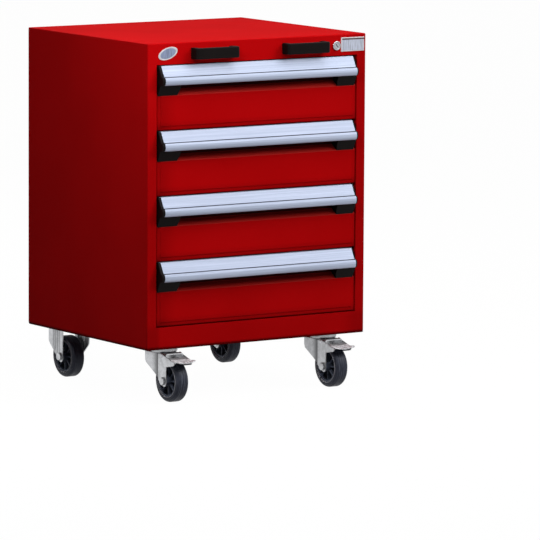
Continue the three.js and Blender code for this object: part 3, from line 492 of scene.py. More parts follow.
def satin_aluminium():
    finish = Finish("satin_aluminium", Metallic=0.8)
    lines = finish.noise(1.0, 4, 0.6, (3, 700, 700))
    broad = finish.noise(1.0, 3, stretch=(5, 190, 190))
    colour = finish.mix(lines.ramp(0.3, 0.72), (0.335, 0.375, 0.475), (0.465, 0.515, 0.635))
    colour = finish.mix(broad.ramp(0.35, 0.75, 0.5), colour, (0.315, 0.355, 0.45))
    # Painted shade: a near-black line along the handle's groove
    colour, _ = finish.marked("groove", colour, (0.025, 0.03, 0.045))
    return finish.wear(colour, 0.60 + 0.10 * lines, (lines, 0.00006, 0.5))


def black_moulding():
    finish = Finish("black_moulding", Specular_IOR_Level=0.06)
    grain, cloud = finish.noise(900, 2), finish.noise(30, 2)
    colour = finish.mix(cloud, (0.0040, 0.0026, 0.0026), (0.0072, 0.0050, 0.0048))
    return finish.wear(colour, 0.42 + 0.12 * grain, (grain, 0.00008, 0.5))


def bright_zinc(name="bright_zinc", tint=(0.60, 0.61, 0.63), low=0.30):
    """Plated steel: speckled; on the treads streaked and less metallic, which is wear with a
    painted highlight; and darker where marked, which is painted shade.
    """
    finish = Finish(name)
    speckle, cloud = finish.noise(430, 3, 0.7), finish.noise(70, 3, 0.6)
    darker, lighter, painted_zinc_shade = (tuple(share * c for c in tint) for share in (0.72, 1.35, 0.22))
    colour = finish.mix(cloud.ramp(0.3, 0.7), darker, tint)
    colour = finish.mix(speckle.ramp(0.5, 0.75, 0.6), colour, lighter)
    # On the treads: light and dark streaks and less metal, which is wear with a painted highlight
    lines = finish.noise(1.0, 3, 0.7, (110, 380, 380))
    wear_and_highlight = finish.mix(lines.ramp(0.36, 0.54), (0.12, 0.12, 0.13), (0.80, 0.81, 0.84))
    colour, tread = finish.marked("tread", colour, wear_and_highlight)
    # Painted shade where a piece is marked: behind the fork's joggle, over the swivel head, on the
    # pedal's rear top and shoe, between the bracket legs' ribs, and on the washers outside the legs
    colour, _ = finish.marked("painted_zinc_shade", colour, painted_zinc_shade)
    return finish.wear(colour, low + 0.16 * speckle + 0.1 * cloud, (speckle, 0.00008, 0.5),
                       Metallic=1.0 - tread * 0.85)


def polished_chrome():
    finish = Finish("polished_chrome", Metallic=1.0)
    haze = finish.noise(160, 2)
    colour = finish.mix(haze, (0.36, 0.36, 0.38), (0.50, 0.50, 0.53))
    return finish.wear(colour, 0.12 + 0.14 * haze)


def slate_tyre():
    finish = Finish("slate_tyre", Specular_IOR_Level=0.2)
    grain, cloud = finish.noise(700, 2), finish.noise(45, 2)
    lines = finish.noise(1.0, 3, stretch=(420, 26, 26))
    colour = finish.mix(cloud.ramp(0.3, 0.7), (0.022, 0.025, 0.040), (0.044, 0.049, 0.074))
    # Painted sheen: light bluish streaks on the rubber
    colour = finish.mix(lines.ramp(0.48, 0.62, 0.75), colour, (0.11, 0.12, 0.16))
    colour, _ = finish.marked("bead", colour, (0.55, 0.55, 0.60))
    return finish.wear(colour, 0.40 + 0.16 * grain, (grain, 0.0001, 0.5))


def dark_nylon():
    finish = Finish("dark_nylon", Specular_IOR_Level=0.25)
    grain = finish.noise(600, 2)
    colour = finish.mix(grain, (0.014, 0.0155, 0.022), (0.022, 0.025, 0.034))
    # Painted highlight: lighter faces on the hub's ribs
    colour, _ = finish.marked("rib", colour, (0.115, 0.135, 0.190))
    return finish.wear(colour, 0.42 + 0.14 * grain, (grain, 0.00008, 0.4))


def pale_plate(name, field):
    """A bare plate: a pale rim, a field inside it, and a dark band where the piece is marked."""
    finish = Finish(name, Metallic=0.2)
    lines, cloud = finish.noise(1.0, 3, stretch=(420, 60, 40)), finish.noise(90, 2)
    colour = finish.mix(cloud.ramp(0.35, 0.7), (0.66, 0.63, 0.66), (0.80, 0.76, 0.79))
    inner = finish.mix(lines.ramp(0.35, 0.65), field, tuple(1.45 * c for c in field))
    colour, _ = finish.marked("field", colour, inner)
    colour, _ = finish.marked("band", colour, (0.06, 0.035, 0.04))
    return finish.wear(colour, 0.34 + 0.12 * lines, (lines, 0.00004, 0.4))


# Each finish with the slot that it fills
PAINT = red_powder_coat(), "red_paint"
HOUSING_PAINT = red_powder_coat("housing_powder_coat", frame_shade), "red_paint"
FRONT_PAINT = red_powder_coat("front_powder_coat", front_shade), "red_paint"
ALUMINIUM = satin_aluminium(), "aluminium"
MOULDING = black_moulding(), "black_plastic"
ZINC = bright_zinc(), "zinc"
RUNNER_STEEL = bright_zinc("runner_steel", (0.38, 0.39, 0.41), 0.36), "zinc"
CHROME = polished_chrome(), "chrome"
TYRE = slate_tyre(), "tyre_rubber"
NYLON = dark_nylon(), "hub_plastic"
OVAL_PLATE = pale_plate("oval_plate_finish", (0.20, 0.24, 0.36)), "chrome"
LABEL_PLATE = pale_plate("label_plate_finish", (0.44, 0.47, 0.56)), "chrome"


# Making pieces

CREASE = math.radians(38)


def placed(name, data):
    thing = bpy.data.objects.new(name, data)
    bpy.context.scene.collection.objects.link(thing)
    return thing


def bevel_edges(piece, width, segments, degrees):
    """A round edge where two faces meet at more than an angle."""
    bevel = piece.modifiers.new("edge", "BEVEL")
    bevel.width, bevel.segments, bevel.limit_method = width * MM, segments, "ANGLE"
    bevel.angle_limit = math.radians(degrees)
    return bevel


def merged_mesh(name, points, faces):
    """A mesh with its doubles merged and its faces turned outwards."""
    mesh = bpy.data.meshes.new(name)
    mesh.from_pydata(points, [], faces)
    whole = bmesh.new()
    whole.from_mesh(mesh)
    bmesh.ops.remove_doubles(whole, verts=whole.verts, dist=1e-7)
    bmesh.ops.dissolve_degenerate(whole, edges=whole.edges, dist=1e-8)
    bmesh.ops.recalc_face_normals(whole, faces=whole.faces)
    whole.to_mesh(mesh)
    whole.free()
    return mesh


def mark_points(piece, name, share, at):
    """A point attribute: a share worked out from each point's place about the piece's own."""
    places = np.empty(len(piece.data.vertices) * 3)
    piece.data.vertices.foreach_get("co", places)
    local = places.reshape(-1, 3) / MM - FRAME_SHIFT - at
    values = np.clip(share(*local.T), 0, 1) * np.ones(len(local))
    attribute = piece.data.attributes.new(name, "FLOAT", "POINT")
    attribute.data.foreach_set("value", values.astype(np.float32))


def make_piece(name, shells, finish, body, replaces=None, at=(0, 0, 0), thickness=0.0, edge=0.0,
               marks=None):
    """One object from shells in millimetres about its place: an open surface is given its wall
    and bevelled edges, and smooth shading stays sharp past the crease."""
    starts = np.cumsum([0] + [len(points) for points, _ in shells])
    points = np.vstack([points for points, _ in shells]) + at + FRAME_SHIFT
    faces = [[i + start for i in face]
             for (_, cells), start in zip(shells, starts) for face in cells]
    mesh = merged_mesh(name, (points * MM).tolist(), faces)
    piece = placed(name, mesh)
    material, slot = finish
    mesh.materials.append(material)
    if thickness:
        wall = piece.modifiers.new("wall", "SOLIDIFY")
        wall.thickness, wall.offset, wall.use_even_offset = thickness * MM, -1.0, True
        if edge:
            bevel_edges(piece, edge, *SHEET_BEVEL)
        graph = bpy.context.evaluated_depsgraph_get()
        done = bpy.data.meshes.new_from_object(piece.evaluated_get(graph))
        piece.modifiers.clear()
        piece.data = done
    piece.data.polygons.foreach_set("use_smooth", np.ones(len(piece.data.polygons), bool))
    piece.data.set_sharp_from_angle(angle=CREASE)
    piece.modifiers.new("even_shading", "WEIGHTED_NORMAL").keep_sharp = True
    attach(piece, body)
    if replaces:
        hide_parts(replaces)
    for mark, share in (marks or {}).items():
        mark_points(piece, mark, share, at)


# Drawer pieces

def handle_point(reach, drop):
    """A point of a drawer's cross-section, by its reach before the face and its drop."""
    return [FRONT_Y - reach, -drop]


SLOPE = np.array([handle_point(HANDLE_TOP_REACH, 0), handle_point(SLOPE_REACH, SLOPE_DROP)])


def nose_arc(count):
    """The nose's arc of an ellipse, at even angles about its centre."""
    angle = np.radians(np.linspace(*NOSE_TURN, count))
    return handle_point(NOSE_MIDDLE, NOSE_DROP) + polar(1, angle) * NOSE_HALF


def front_pan():
    """The drawer's front sheet: its folded path carried across, with both ends turned back to
    cheeks round a fold, and the wall given afterwards. The face sinks by the border's depth, eased
    over its run, where it is nearer to the edge than the border's width."""
    web, bottom = FRONT_Y + RECESS_DEPTH, -FRONT_HEIGHT
    path = rounded_path([
        [FRONT_Y + FRONT_RETURN, bottom], [FRONT_Y, bottom], [FRONT_Y, -RECESS_HEIGHT],
        [web, RECESS_LOW], [web, -FRONT_TOP_DROP],
        [web + FRONT_RETURN / 2, -FRONT_TOP_DROP]], FRONT_FOLD)
    step = BORDER + BORDER_RUN * np.linspace(0, 1, 4)
    fold_end = np.argmax(path[:, 1] > bottom + FRONT_FOLD + 1)
    rise = np.stack([np.full(4, FRONT_Y), bottom + step], 1)
    path = np.vstack([path[:fold_end], rise, path[fold_end:]])
    inset, travel = end_rounding(FRONT_FOLD, 5)
    inset, travel = np.concatenate([inset, np.zeros(4)]), np.concatenate([travel, step])
    rows = np.stack([moved_in(path, -d, closed=False) for d in (*inset, *inset[::-1])])
    grid = at_levels(rows, [*(travel - FRONT_HALF), *(FRONT_HALF - travel)[::-1]], "X")
    low = np.where(rows[..., 1] < -RECESS_HEIGHT, rows[..., 1] - bottom, FRONT_HALF)
    margin = np.minimum(FRONT_HALF - np.abs(grid[..., 0]), low)
    grid[..., 1] += BORDER_DEPTH * (1 - eased((margin - BORDER) / BORDER_RUN))
    points, faces = sheet(grid)
    first, last = range(len(path)), range(len(points) - len(path), len(points))
    return points, faces + [list(first), list(last)]


def drawer_handle():
    """The aluminium section carried across the drawer: the wall of a flat slope, a round nose and
    a hook behind it, with a groove pressed in between the slope and the nose."""
    end = SLOPE[1]
    slope = rounded_path([handle_point(CAP_REAR, HANDLE_REAR), handle_point(CAP_REAR, 0), *SLOPE],
                         HANDLE_FOLD, 4)
    hook = rounded_path([handle_point(NOSE_MIDDLE, NOSE_LOW), handle_point(HOOK_REACH, NOSE_LOW),
                         handle_point(HOOK_REACH, NOSE_LOW - HOOK_RISE)], HOOK_FOLD, 3)
    wall = sheet_section(np.vstack([slope, nose_arc(22), hook[1:]]), HANDLE_WALL)
    edge = np.argmin(np.linalg.norm(wall - end, axis=1))
    lip = end - unit(SLOPE[1:] - SLOPE[:1])[0] * GROOVE_LIP
    groove = [lip, end, end + GROOVE_SINK, wall[edge + 1] + GROOVE_SINK]
    section = np.vstack([wall[:edge], groove, wall[edge + 1:]])
    left, right = (FRONT_HALF - CAP_SPANS[side][1] - SEAT_GAP for side in SIDES.values())
    return prism(section, -left, right, "X", FRONT_EDGE)


# Where the handle's colour takes painted shade along its groove
def groove_shade(x, y, z):
    (low, high, front), up = GROOVE_SHADE, z + SLOPE_DROP
    return (up > low) & (up < high) & (y - FRONT_Y + SLOPE_REACH > front)


def end_cap_plate(side):
    """The flat plate that closes the handle's end, with the block's outline below it."""
    outline = np.vstack([
        [handle_point(CAP_REAR, 0)], SLOPE, nose_arc(18),
        [handle_point(BLOCK_REACH, NOSE_LOW), handle_point(0, BLOCK_LOW),
         handle_point(CAP_REAR, BLOCK_LOW + CAP_REAR)]])
    ends = sorted(side * (FRONT_HALF - inset) for inset in CAP_SPANS[side])
    return prism(outline, *ends, "X", CAP_EDGE)


def corner_block(side):
    """Below the handle: at each height a rectangle with round corners. Its front runs back to the
    drawer's face at the foot, its rear follows the sheet's step, and its inner end draws in."""
    z = np.linspace(-NOSE_LOW - SEAT_GAP, -BLOCK_LOW, 15)
    front = FRONT_Y - BLOCK_REACH * (z[-1] - z) / (z[-1] - z[0])
    back = np.minimum(FRONT_Y - CAP_REAR, FRONT_Y + (z + BLOCK_LOW))
    cut = np.maximum(0, BLOCK_FOOT - RECESS_HEIGHT - z) * BLOCK_INSET / BLOCK_FOOT
    inner, outer = FRONT_HALF - BLOCK_WIDTH + cut, FRONT_HALF - BLOCK_OUTER[side] + 0 * z
    low, high = np.stack([inner, front], 1), np.stack([outer, back], 1)
    round_in = np.maximum((back - front) * BLOCK_ROUND_SHARE, BLOCK_LEAST_ROUND)
    radius = np.minimum(BLOCK_EDGE, round_in)
    plans = round_rectangles((low + high) / 2, (high - low) / 2, radius, 5)
    return joined(at_levels(plans * [side, 1], z))


def make_drawer(number):
    name = f"drawer_{number}"
    at = (0, 0, FIRST_TOP - (number - 1) * DRAWER_PITCH)
    # The front sheet's paint takes painted shade on the web behind the handle and a painted sheen
    # on the return below it
    make_piece(f"{name}_front_sheet", [front_pan()], FRONT_PAINT, name, f"{name}_front", at,
               FRONT_SHEET, FRONT_EDGE,
               {"painted_shade": lambda x, y, z: z > RECESS_SHADE,
                "return": lambda x, y, z: (z > RETURN_SHEEN) & (z < RECESS_SHADE)})
    make_piece(f"{name}_handle_section", [drawer_handle()], ALUMINIUM, name, f"{name}_handle", at,
               marks={"groove": groove_shade})
    for word, side in SIDES.items():
        for part, shell in (("cap", end_cap_plate(side)), ("block", corner_block(side))):
            make_piece(f"{name}_{part}_{word}", [shell], MOULDING, name,
                       f"{name}_end_cap_{word}", at)


# Base lip and rear panel

def base_lip():
    """A turned-in lip under the housing: a quarter round from the shell's face down to the lip's
    foot, carried round the four edges with square corners."""
    turn = quarter(6)
    inset = [*(LIP_SET + LIP_DROP * (1 - np.cos(turn))), LIP_WIDTH, LIP_WIDTH]
    level = [*(HOUSING_BOTTOM + LIP_SINK - (LIP_DROP + LIP_SINK) * np.sin(turn)),
             HOUSING_BOTTOM - LIP_DROP, HOUSING_BOTTOM + LIP_SINK]
    x, y = SIDE_X - np.array(inset), REAR_Y - np.array(inset)
    corners = ((-1, 1), (-1, -1), (1, -1), (1, 1))
    return joined(np.stack([np.stack([u * x, v * y, level], 1) for u, v in corners]), closed=True)


def panel_margin(x, z):
    """The distance to the rear panel's nearest edge."""
    return np.minimum(PANEL_HALF - np.abs(x), np.minimum(z - PANEL_LOW, PANEL_TOP - z))


def rear_panel():
    """A flanged panel over x and z: its flange, a round fold, a border that lies lower, and a
    field pressed out to the rear face; the depth depends only on the distance to the edge."""
    fold = REAR_FOLD * (1 - np.cos(quarter(7)))
    step = REAR_BORDER + REAR_STEP * np.linspace(0, 1, 6)
    near = np.concatenate([fold, [REAR_BORDER / 2], step])
    x, z = (np.concatenate([low + near, [(low + high) / 2], (high - near)[::-1]])
            for low, high in ((-PANEL_HALF, PANEL_HALF), (PANEL_LOW, PANEL_TOP)))
    x, z = np.meshgrid(x, z, indexing="ij")
    edge = panel_margin(x, z)
    rest = np.maximum(REAR_FOLD - edge, 0)
    round_in = REAR_FOLD - np.sqrt(np.maximum(REAR_FOLD ** 2 - rest ** 2, 0))
    depth = REAR_PRESS * (1 - eased((edge - REAR_BORDER) / REAR_STEP)) + round_in
    grid = np.pad(np.stack([x, REAR_Y - depth, z], -1), ((1, 1), (1, 1), (0, 0)), "edge")
    grid[[0, -1], :, 1] = grid[:, [0, -1], 1] = REAR_Y - REAR_FLANGE
    return sheet(grid)


def rivet_heads():
    """Low domes on the rear panel's border, evenly spaced along each side: a quarter of an ellipse
    carried round."""
    half, inset = PANEL_HALF - REAR_BORDER / 2, REAR_BORDER / 2 - SEAT_GAP
    low, high = PANEL_LOW + inset, PANEL_TOP - inset
    arc = polar(1, quarter(5)) * [RIVET_RADIUS, RIVET_RISE] + [0, RIVET_SEAT]
    dome = turned(np.vstack([[0, RIVET_SEAT], arc]), 20, "Y")
    across, up = np.linspace(-half, half, RIVETS_ACROSS), np.linspace(low, high, RIVETS_UP)
    places = [(x, z) for x in across for z in (low, high)]
    places += [(x, z) for x in (-half, half) for z in up[1:-1]]
    return [shifted(dome, x, 0, z) for x, z in places]


def panel_shade(x, y, z):
    """How deep a point of the rear panel lies in shade: at its edge and along its step."""
    margin = panel_margin(x, z)
    at_step = np.abs(margin - PANEL_STEP_PLACE) < PANEL_STEP_RUN
    return PANEL_EDGE_SHADE * (margin < PANEL_EDGE_RUN) + PANEL_STEP_SHADE * at_step


def make_sheet_trim():
    # Painted shade on all three: along the rear panel's edge and step, round the rivets' feet, and
    # over the whole base lip
    make_piece("rear_panel", [rear_panel()], PAINT, "root", "back_panel", thickness=REAR_SHEET,
               marks={"painted_shade": panel_shade})
    make_piece("rear_rivets", rivet_heads(), PAINT, "root",
               marks={"painted_shade": lambda x, y, z: RIVET_SHADE * (y < RIVET_SEAT + SEAT_GAP)})
    make_piece("base_lip", [base_lip()], PAINT, "root",
               marks={"painted_shade": lambda x, y, z: LIP_SHADE})


# Rail pieces

def bow_path(foot, reach, radius):
    """A bow's curve over x and y: two straight feet, cut into equal steps, and a rounded span."""
    half = PULL_LENGTH / 2 - foot
    path = rounded_path([[-half, 0], [-half, -reach], [half, -reach], [half, 0]], radius, 10)
    share = np.linspace(0, 1, 7)[1:-1, None]
    return np.vstack([path[:1], path[0] + (path[1] - path[0]) * share, path[1:-1],
                      path[-2] + (path[-1] - path[-2]) * share, path[-1:]])


def pull_bow():
    """A bow of one section carried along its length: the section is a rounded rectangle that
    spans from the bow's inner curve to its outer curve."""
    outer = bow_path(0, PULL_REACH, PULL_RADIUS)
    inner = bow_path(PULL_FOOT, PULL_REACH - PULL_GRIP, PULL_INNER_RADIUS)
    middle, reach = (outer + inner) / 2, (outer - inner) / 2
    width = np.linalg.norm(reach, axis=1)
    half = np.stack([width, np.full(len(width), PULL_HEIGHT / 2)], 1)
    section = round_rectangles(0 * half, half, np.minimum(PULL_EDGE, width * LEAST_FLAT), 7)
    plan = middle[:, None] + (reach / width[:, None])[:, None] * section[..., :1]
    return joined(np.concatenate([plan, section[..., 1:]], -1))


def lock_ring():
    """The barrel: a sleeve in the rail with a rounded flange in front of it."""
    rim = polar(FLANGE_EDGE, quarter(6)) + [FLANGE_RADIUS - FLANGE_EDGE,
                                            FLANGE_REACH - FLANGE_EDGE]
    inner, (across, deep) = PLUG_RADIUS + SEAT_GAP, FLANGE_BEVEL
    profile = np.vstack([[inner, -LOCK_BODY_LENGTH], [LOCK_BODY_RADIUS, -LOCK_BODY_LENGTH],
                         [LOCK_BODY_RADIUS, SEAT_GAP], [FLANGE_RADIUS, SEAT_GAP], rim,
                         [inner + across, FLANGE_REACH], [inner, FLANGE_REACH - deep]])
    return turned(profile * [1, -1], 64, "Y")


def lock_plug():
    """The plug: rings from its tail to its face, and a face whose points sink by the key's depth
    where they lie inside the slot; behind it, the eccentric pin."""
    face, tail = FLANGE_REACH - PLUG_SET, -LOCK_BODY_LENGTH - SEAT_GAP
    disc = tail - DISC_THICKNESS
    rings = np.array([[0, disc], [DISC_RADIUS, disc], [DISC_RADIUS, tail], [PLUG_RADIUS, tail],
                      [PLUG_RADIUS, face - PLUG_EDGE],
                      *([radius, face] for radius in np.linspace(PLUG_RADIUS - PLUG_EDGE, 0, 24))])
    x, z = np.moveaxis(polar(rings[:, :1], full_turn(96)), -1, 0)
    level, lean = rings[:, 1:], math.radians(KEY_DEGREES)
    across = x * math.cos(lean) + z * math.sin(lean)
    along = z * math.cos(lean) - x * math.sin(lean)
    for place, length in ((across, KEY_WIDTH), (along, KEY_LENGTH)):
        place[:] = 1 - eased((np.abs(place) - length / 2) / KEY_WALL)
    level = level - KEY_DEPTH * across * along * (level > 0)
    front, back = -disc, BAR_SHEET + SEAT_GAP - disc
    pin = turned([[0, back], [PIN_RADIUS - PIN_EDGE, back], [PIN_RADIUS, back - PIN_EDGE],
                  [PIN_RADIUS, front], [0, front]], 24, "Y")
    pin_x, pin_z = polar(PIN_OFFSET, math.radians(PIN_DEGREES))
    return [joined(np.stack([x, -level, z], -1)), shifted(pin, pin_x, 0, pin_z)]


def badge_plate():
    """A thin bare plate: its tilted oval outline shrinks to its middle while the face rises by the
    dome, and a raised rim follows the edge."""
    cos, sin = math.cos(BADGE_TILT), math.sin(BADGE_TILT)
    outline = (polar(1, full_turn(96)) * BADGE_HALF) @ [[cos, sin], [-sin, cos]]
    share = np.array(BADGE_SHARES)
    lift = PLATE_THICKNESS * np.array(BADGE_LIFTS)
    lift = lift + BADGE_DOME * np.where(share < BADGE_DOME_SHARE, 1 - share ** 2, 0)
    return joined(at_levels(outline * share[:, None, None], FRONT_Y - SEAT_GAP - lift, "Y"))


def badge_field(x, y, z):
    cos, sin = math.cos(BADGE_TILT), math.sin(BADGE_TILT)
    along, across = (x * cos + z * sin) / BADGE_HALF[0], (z * cos - x * sin) / BADGE_HALF[1]
    return np.hypot(along, across) < BADGE_FIELD


def label_face():
    """The label's face over x and z, lifted to its thickness inside a narrow sloping edge."""
    (x0, x1), (z0, z1) = LABEL_X, LABEL_Z
    rim = [0, LABEL_EDGE, *(LABEL_RIM_X + step for step in RIM_STEPS)]
    x = np.array([*(x0 + place for place in rim), *(x1 - place for place in rim[::-1])])
    z = np.array([z0, z0 + LABEL_EDGE, *(z0 + LABEL_RIM_Z + step for step in RIM_STEPS),
                  *(level + step for level in LABEL_BAND for step in BAND_STEPS),
                  z1 - LABEL_EDGE, z1])
    x, z = np.meshgrid(x, z, indexing="ij")
    edge = np.minimum(np.minimum(x - x0, x1 - x), np.minimum(z - z0, z1 - z))
    lift = PLATE_THICKNESS * eased(edge / LABEL_EDGE)
    return sheet(np.stack([x, FRONT_Y - SEAT_GAP - lift, z], -1))


def label_field(x, y, z):
    low, high = LABEL_X[0] + LABEL_RIM_X, LABEL_X[1] - LABEL_RIM_X
    return (x > low) & (x < high) & (z > LABEL_Z[0] + LABEL_RIM_Z) & (z < LABEL_BAND[0])


def label_band(x, y, z):
    return (x > LABEL_X[0] + LABEL_RIM_X) & (z > LABEL_BAND[0]) & (z < LABEL_BAND[1])


def make_rail_pieces():
    for word, side in SIDES.items():
        make_piece(f"pull_bow_{word}", [pull_bow()], MOULDING, "root", f"pull_handle_{word}",
                   (side * PULL_SPREAD, FRONT_Y - SEAT_GAP, RAIL_MIDDLE))
    make_piece("lock_ring", [lock_ring()], CHROME, "root", "lock_barrel", LOCK_PLACE)
    make_piece("lock_cylinder", lock_plug(), CHROME, "lock_plug", "lock_plug", LOCK_PLACE)
    make_piece("oval_plate", [badge_plate()], OVAL_PLATE, "root", at=BADGE_PLACE,
               marks={"field": badge_field})
    make_piece("label_plate", [label_face()], LABEL_PLATE, "root", thickness=LABEL_SHEET,
               marks={"field": label_field, "band": label_band})


# Caster pieces, worked out round each caster's own axis or the wheel's middle

def tyre():
    """The tread's profile: round shoulders, a flat tread and a bead beside the hub."""
    shoulder = polar(TYRE_SHOULDER, quarter(10)) + [TYRE_RADIUS - TYRE_SHOULDER,
                                                    TYRE_HALF - TYRE_SHOULDER]
    half = np.vstack([shoulder, np.array([*TYRE_BEAD, [TYRE_INNER, 0]]) + [0, TYRE_HALF]])
    return turned(np.vstack([(half * [1, -1])[::-1], half]), 128, "X")


def wheel_hub():
    """Each side of the hub is a surface over radius and angle: the boss, the web and the rim at
    their own levels, and the web raised to the ribs' level where the distance from a rib's centre
    line is under half its width, with a small round edge."""
    rim = TYRE_INNER - SEAT_GAP
    inner = rim - HUB_RIM
    boss = [[HUB_BORE, HUB_BOSS_HALF - HUB_EDGE], [HUB_BORE + HUB_EDGE, HUB_BOSS_HALF],
            [HUB_BOSS - HUB_EDGE, HUB_BOSS_HALF], [HUB_BOSS, HUB_BOSS_HALF - HUB_EDGE]]
    web = [*HUB_WEB_RINGS, inner - HUB_EDGE, inner]
    edge = [[inner, HUB_RIM_HALF - HUB_RIM_EDGE], [inner + HUB_RIM_EDGE, HUB_RIM_HALF],
            [rim - HUB_EDGE, HUB_RIM_HALF], [rim, HUB_RIM_HALF - HUB_EDGE]]
    radius, level = np.array([*boss, *([r, np.nan] for r in web), *edge]).T[..., None]
    side, pitch = np.array(RIB_PLACES), 2 * math.pi / RIB_COUNT
    near = np.arcsin(np.clip(np.array([*-side, 0, *side[::-1]]) / radius, -0.9, 0.9))
    far = near[:, -1:] + (pitch + near[:, :1] - near[:, -1:]) * np.linspace(0.25, 0.75, 5)
    angle = np.hstack([np.hstack([near, far]) + k * pitch for k in range(RIB_COUNT)])
    raised = np.tile([*RIB_RISES, 1, *RIB_RISES[::-1], *[0] * far.shape[1]], RIB_COUNT)
    height = np.where(np.isnan(level), HUB_WEB_HALF + (RIB_REACH - HUB_WEB_HALF) * raised, level)
    front = np.concatenate([height[..., None], polar(radius, angle)], -1)
    return joined(np.concatenate([front, front[::-1] * [-1, 1, 1]]), closed=True)


def hex_rings(across, low, high, chamfer):
    """A hexagon's radius, across / 2 / cos(angle from the nearest flat's middle), cut by a cone
    at both ends."""
    angle = full_turn(72)
    flat = across / 2 / np.cos((angle + math.pi / 6) % (math.pi / 3) - math.pi / 6)
    limit = across / 2 * np.array([*HEX_CONE, *HEX_CONE[::-1]])
    rise = chamfer * np.array(HEX_RISES)
    radius = np.minimum(flat, limit[:, None])
    return joined(at_levels(polar(radius, angle), [*(low + rise), *(high - rise)[::-1]], "X"))


def axle():
    """The bolt: its shank, a hexagon head, a nut and a washer under each."""
    start, end = -AXLE_GRIP - BOLT_SINK, AXLE_GRIP + HEX_HEIGHT + THREAD_PAST
    parts = [turned([[0, start], [AXLE_RADIUS, start], [AXLE_RADIUS, end - BOLT_EDGE],
                     [AXLE_RADIUS - BOLT_EDGE, end], [0, end]], 48, "X", closed=False)]
    in_edge, out_edge = WASHER_RADIUS - WASHER_EDGE[0], WASHER_EDGE[1]
    profile = np.array([[AXLE_RADIUS, 0], [in_edge, 0], [WASHER_RADIUS, out_edge],
                        [in_edge, WASHER_HEIGHT], [AXLE_RADIUS, WASHER_HEIGHT]])
    faces = AXLE_GRIP + WASHER_HEIGHT + WASHER_GAP, AXLE_GRIP + HEX_HEIGHT
    for side in SIDES.values():
        washer = turned((profile + [0, AXLE_GRIP]) * [1, side], 64, "X")
        ends = sorted(side * face for face in faces)
        parts += [washer, hex_rings(HEX_ACROSS, *ends, HEX_EDGE)]
    return parts


def leg_low(y, rear, shoulder, front):
    """The lower edge of a leg over y, from its outline: up the front, round the axle's end and
    along a slant to the shoulder behind."""
    end_y, end_z = polar(LEG_END, LEG_TURN)
    outline = rounded([[front, ABOVE_LEGS], [front, LEG_FOOT], [front + LEG_FOOT_RUN, LEG_FOOT],
                       [front + LEG_END + end_y + LEG_SLANT_SHIFT, AXLE_HEIGHT + end_z],
                       [rear, shoulder], [rear, ABOVE_LEGS]], LEG_RADII, 10)
    chain = outline[np.argsort(outline[:, 0], kind="stable")]
    low = chain[chain[:, 1] < ABOVE_LEGS - 1]
    return np.interp(y, low[:, 0], low[:, 1])


def leg_front(front):
    """Places along y behind a leg's front edge, close together where the edge is round."""
    return front + LEG_END * (1 - np.cos(quarter(9)))


def fork_inset(y):
    """How far a leg's side lies inside its front strip: a short joggle behind the strip, then a
    quarter cosine back out to the rear edge."""
    back = np.clip((y - JOGGLE_Y - JOGGLE_RUN) / (FORK_REAR - JOGGLE_Y - JOGGLE_RUN), 0, 1)
    return JOGGLE * eased((y - JOGGLE_Y) / JOGGLE_RUN) * np.cos(back * math.pi / 2)


def swivel_fork():
    """A pressed fork: an upturned U along y, over the legs' lower edge and their joggle."""
    front = -TRAIL - LEG_END
    y = np.concatenate([leg_front(front), *(np.linspace(*row) for row in FORK_PLACES)])
    low = leg_low(y, FORK_REAR, FORK_SHOULDER, front)
    return sheet(upturned_u(y, LEG_OUTER - fork_inset(y), low, CROWN_TOP, FORK_FOLD, 12, 6))


# Painted shade on a leg behind its joggle, fading out towards the rear
def fork_shade(x, y, z):
    return eased((y - JOGGLE_Y) / JOGGLE_RUN) * eased((FORK_SHADE_END - y) / FORK_SHADE_RUN)


def swivel_head():
    """The head: a round cup under the base, and the king bolt with its head and nut."""
    top, low = PAN_BOTTOM - SEAT_GAP, CROWN_TOP + SEAT_GAP
    ring = rounded([[0, low], [HEAD_RADIUS - HEAD_LIP, low], [HEAD_RADIUS, low + HEAD_LIP],
                    [HEAD_RADIUS, top], [0, top]], HEAD_EDGES, 5)
    bolt_low = CROWN_TOP - FORK_SHEET - SEAT_GAP - KING_HEAD
    head_top = bolt_low + KING_HEAD
    head = rounded([[0, bolt_low], [KING_HEAD_RADIUS, bolt_low], [KING_HEAD_RADIUS, head_top],
                    [0, head_top]], KING_HEAD_EDGES, 4)
    nut_low = PAN_BOTTOM + KING_NUT_LIFT
    nut_top = nut_low + KING_NUT_HEIGHT
    bolt_top = nut_top + KING_PAST
    bolt = [[0, bolt_low + BOLT_SINK], [KING_RADIUS, bolt_low + BOLT_SINK],
            [KING_RADIUS, bolt_top - BOLT_EDGE], [KING_RADIUS - BOLT_EDGE, bolt_top],
            [0, bolt_top]]
    nut, faces = hex_rings(KING_NUT_ACROSS, nut_low, nut_top, KING_NUT_EDGE)
    return [turned(ring, 96), turned(head, 48), turned(bolt, 40), (nut[:, [1, 2, 0]], faces)]


def flutes(y):
    """The leg's upright ribs: raised cosines of y, from 0 between them to 1 on their crowns."""
    near = sum(np.clip(1 - np.abs(y - BRACKET_REACH * share) / FLUTE_HALF, 0, 1)
               for share in FLUTE_SHARES)
    return 0.5 - 0.5 * np.cos(math.pi * near)


